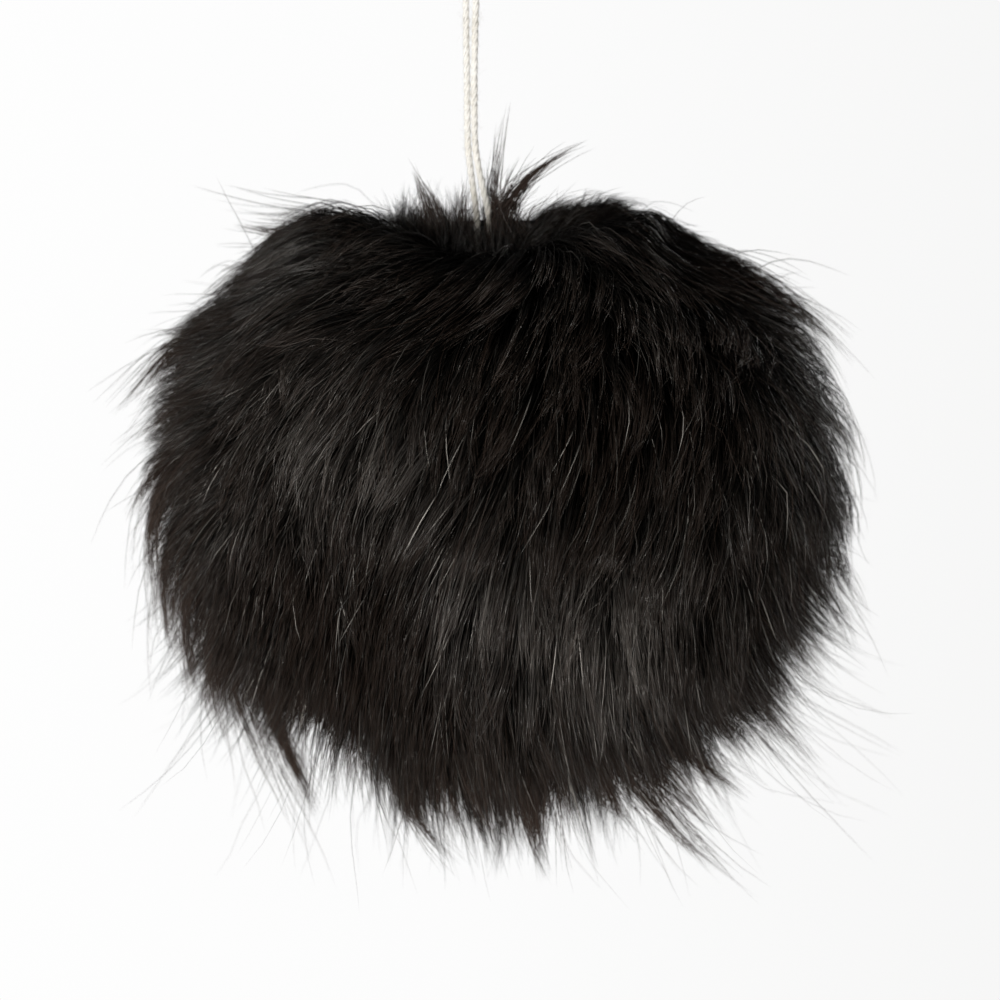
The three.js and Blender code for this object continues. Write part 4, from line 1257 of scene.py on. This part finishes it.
def fuzz(line, count, seed):
    """Loose fibres that stand off the cord."""
    rng = np.random.default_rng(seed)
    at = rng.integers(2, len(line) - 3, count)
    tangent = tangents(line)[at]
    side = rng.normal(size=(count, 3))
    side = unit(side - (side * tangent).sum(-1, keepdims=True) * tangent)
    length = rng.uniform(0.5, 2.2, count)[:, None, None]
    direction = unit(side * rng.uniform(0.25, 1.0, (count, 1))
                     + tangent * rng.choice([-1, 1], (count, 1))
                     * rng.uniform(0.5, 1.4, (count, 1)))
    curl = unit(rng.normal(size=(count, 3)))
    along = np.linspace(0, 1, 6)[None, :, None]
    start = line[at] + side * 0.38
    return (start[:, None] + direction[:, None] * length * along
            + curl[:, None] * length * 0.28 * along ** 2)


def frayed_end(line, seed):
    """Fibres that splay from the cut end of a tail."""
    rng = np.random.default_rng(seed)
    end, ahead = line[-1], unit(line[-1] - line[-6])
    fibres = []
    for _ in range(46):
        direction = unit(ahead + 0.35 * rng.normal(size=3))
        start = end - ahead * 0.3 + 0.3 * rng.normal(size=3) * 0.8
        length = rng.uniform(0.6, 1.9)
        curl = rng.normal(size=3) * 0.3
        along = np.linspace(0, 1, 5)[:, None]
        fibres.append(start + direction * length * along + curl * length * along * along)
    return fibres


def cord_piece(part, lines, fibres, replaces, **carried):
    tubes = [tube(line, PLY_R, 10) for line in lines]
    tubes += [tube(fibre, np.linspace(0.024, 0.008, len(fibre)), 3) for fibre in fibres]
    new_object(tubes_mesh(f"cord_ply_{part}", tubes), COTTON, "cord_cotton", (replaces,),
               **carried)


def on_cord(z):
    """A place on the cord's line above its exit, in metres."""
    return (EXIT_X * MM_TO_M, EXIT_Y * MM_TO_M, z * MM_TO_M)


for side, leg, seed in (("left", LEFT_LEG, 71), ("right", RIGHT_LEG, 72)):
    line = smooth_line([(x, EXIT_Y + 0.12 * math.sin(z * 0.35 + seed), z) for x, z in leg], 420)
    leg_plies = plies(line, 0.7 * seed, seed)
    leg_fuzz = fuzz(line, 210, seed + 10)
    for part, bottom, top, lower, upper, bend_from, bend_to in SPANS:
        inside = np.flatnonzero((line[:, 2] >= bottom - 1e-9) & (line[:, 2] <= top + 1e-9))
        span = slice(max(0, inside[0] - 1), inside[-1] + 1)
        highest = top + (3 if part == "top" else 0)
        fibres = [fibre for fibre in leg_fuzz
                  if bottom <= fibre[0, 2] < top and bottom < fibre[:, 2].min()
                  and fibre[:, 2].max() < highest]
        cord_piece(f"{side}_{part}", [ply[span] for ply in leg_plies], fibres,
                   f"cord_{side}_{part}",
                   blend=(lower, upper, on_cord(bend_from), on_cord(bend_to)))

# the run inside the casing
angle = np.radians(np.linspace(-80, -80 + 321, 260))
run = np.stack([HEM_R * np.cos(angle), HEM_R * np.sin(angle), np.full_like(angle, HEM_Z)], 1)
cord_piece("in_hem", plies(run, 0.3, 74), [], "drawcord_in_hem")


def overhand(phase):
    """Centre line, from below to above, of a tight overhand turn round the knot's middle."""
    part = np.linspace(0, 1, 150)
    turn = 2 * np.pi * 1.6 * part + phase
    bulge = np.sin(np.pi * part) ** 0.8
    radius = 1.05 * bulge * 1.35
    return np.stack([
        KNOT_X + radius * np.cos(turn), KNOT_Y + radius * np.sin(turn),
        KNOT_Z - 1.9 + 3.8 * part + 0.55 * np.sin(2 * turn) * bulge], 1)


turn = np.linspace(0, 2 * np.pi * 2.25, 190)
wrap = np.stack([
    KNOT_X + 1.55 * np.cos(turn), KNOT_Y + 1.55 * np.sin(turn),
    KNOT_Z - 1.0 + 2.0 * turn / turn[-1] + 0.35 * np.sin(turn)], 1)
knot_plies = []
for k, line in enumerate((overhand(math.pi), overhand(0.0), wrap)):
    knot_plies += plies(line, k * 1.1, 80 + k)
cord_piece("knot", knot_plies, [], "cord_knot", body="cord_end")

for side, points, count, seed in (("left", LEFT_TAIL, 80, 76), ("right", RIGHT_TAIL, 90, 77)):
    line = smooth_line(points, count)
    fibres = frayed_end(line, seed + 5) + list(fuzz(line, 26, seed))
    cord_piece(f"tail_{side}", plies(line, 0.4, seed), fibres, f"cord_tail_{side}",
               body="cord_end")

# ---------------------------------------------------------------- stage and light

scene = bpy.context.scene
scene.view_settings.view_transform = "Standard"
scene.view_settings.look = "None"
scene.view_settings.exposure = 0.0
scene.cycles.use_denoising = True
scene.cycles.filter_width = 1.5
scene.cycles.max_bounces = 4
scene.cycles.diffuse_bounces = 2
scene.cycles.glossy_bounces = 2


def backdrop(tree):
    """Near white, a little brighter on the left of the view."""
    window = node(tree, "ShaderNodeTexCoord").outputs["Window"]
    across = node(tree, "ShaderNodeSeparateXYZ", window).outputs["X"]
    return ramp(across, [(0.0, 0.988), (0.45, 0.975), (1.0, (0.928, 0.928, 0.926))])


def show_to_camera(tree, output, lit, seen):
    """Gives the camera the seen shader and all other rays the lit one."""
    to_camera = node(tree, "ShaderNodeLightPath").outputs["Is Camera Ray"]
    mixed = node(tree, "ShaderNodeMixShader", to_camera, lit.outputs[0], seen.outputs[0])
    node(tree, output, mixed.outputs[0])


def studio_world():
    """Lights the ball brightly from round the horizon and dimly from overhead."""
    world = bpy.data.worlds.new("studio")
    scene.world = world
    world.use_nodes = True
    tree = world.node_tree
    tree.nodes.clear()
    direction = node(tree, "ShaderNodeTexCoord").outputs["Generated"]
    height = node(tree, "ShaderNodeSeparateXYZ", direction).outputs["Z"]
    upward = node(tree, "ShaderNodeMath", height, 0.5, 0.5, operation="MULTIPLY_ADD")
    sky = ramp(upward.outputs[0], [(0.0, 0.75), (0.45, 1.0), (0.62, 0.7), (0.85, 0.16)])
    show_to_camera(
        tree, "ShaderNodeOutputWorld",
        lit=node(tree, "ShaderNodeBackground", Color=sky, Strength=0.16),
        seen=node(tree, "ShaderNodeBackground", Color=backdrop(tree), Strength=1.0))


def pale_floor():
    surface = bpy.data.materials.new("pale_floor")
    surface.use_nodes = True
    surface.cycles.emission_sampling = "NONE"
    tree = surface.node_tree
    tree.nodes.clear()
    show_to_camera(
        tree, "ShaderNodeOutputMaterial",
        lit=node(tree, "ShaderNodeEmission", Strength=0.24),
        seen=node(tree, "ShaderNodeEmission", Color=backdrop(tree), Strength=1.0))
    return surface


FLOOR_HALF, FLOOR_Z = 30000.0, -420.0

studio_world()
floor_points = [(x * FLOOR_HALF, y * FLOOR_HALF, FLOOR_Z)
                for x, y in ((-1, -1), (1, -1), (1, 1), (-1, 1))]
floor_mesh = new_mesh("floor", floor_points, np.array([[0, 1, 2, 3]]), smooth_faces=False)
floor_mesh.materials.append(pale_floor())
floor = bpy.data.objects.new("floor", floor_mesh)
scene.collection.objects.link(floor)


def area(name, place, target, width, height, energy, color):
    """A rectangular light at place, facing target; both in metres."""
    light = bpy.data.lights.new(name, "AREA")
    light.shape = "RECTANGLE"
    light.size, light.size_y = width, height
    light.energy = energy
    light.color = color
    made = bpy.data.objects.new(name, light)
    scene.collection.objects.link(made)
    made.location = place
    facing = Vector(target) - Vector(place)
    made.rotation_euler = facing.to_track_quat("-Z", "Y").to_euler()


area("key_left", place=(-0.46, -0.87, -0.06), target=(0, 0, -0.01), width=0.30, height=0.36,
     energy=12.0, color=(1.0, 0.992, 0.982))
area("fill_front", place=(0.20, -0.95, -0.50), target=(0, 0, -0.03), width=0.36, height=0.28,
     energy=27.0, color=(1.0, 0.995, 0.985))
area("back_low", place=(0.42, 0.92, 0.10), target=(0, 0, -0.01), width=0.45, height=0.45,
     energy=5.0, color=(1.0, 0.99, 0.98))

# ---------------------------------------------------------------- camera (metres)

VIEW_WIDTH = 0.17       # width seen at the ball
VIEW_RIGHT = 0.00034    # the view's middle lies this far right of the ball's centre
VIEW_DOWN = 0.00765     # and this far below it
ELEVATION = math.radians(6.0)
DISTANCE = 0.95
SENSOR_WIDTH = 36.0     # mm
FOCUS_NEARER = 0.046    # the focus lies this far in front of the ball's centre

lens = bpy.data.cameras.new("camera")
camera = bpy.data.objects.new("camera", lens)
scene.collection.objects.link(camera)
scene.camera = camera
lens.sensor_width = SENSOR_WIDTH
lens.lens = SENSOR_WIDTH * DISTANCE / VIEW_WIDTH
lens.clip_start, lens.clip_end = 0.01, 200.0
view_up = Vector((0, math.sin(ELEVATION), math.cos(ELEVATION)))
backward = Vector((0, -math.cos(ELEVATION), math.sin(ELEVATION)))
camera.location = Vector((VIEW_RIGHT, 0.0, 0.0)) - view_up * VIEW_DOWN + backward * DISTANCE
camera.rotation_mode = "QUATERNION"
camera.rotation_quaternion = (-backward).to_track_quat("-Z", "Y")

# The focus point starts from the camera and is held close to the ball's centre.
centre = bpy.data.objects.new("ball_centre", None)
scene.collection.objects.link(centre)
focus = bpy.data.objects.new("focus_point", None)
scene.collection.objects.link(focus)
follow = focus.constraints.new("COPY_LOCATION")
follow.target = camera
near = focus.constraints.new("LIMIT_DISTANCE")
near.target = centre
near.distance = FOCUS_NEARER
near.limit_mode = "LIMITDIST_INSIDE"
lens.dof.use_dof = True
lens.dof.focus_object = focus
lens.dof.aperture_fstop = lens.lens / 10.0
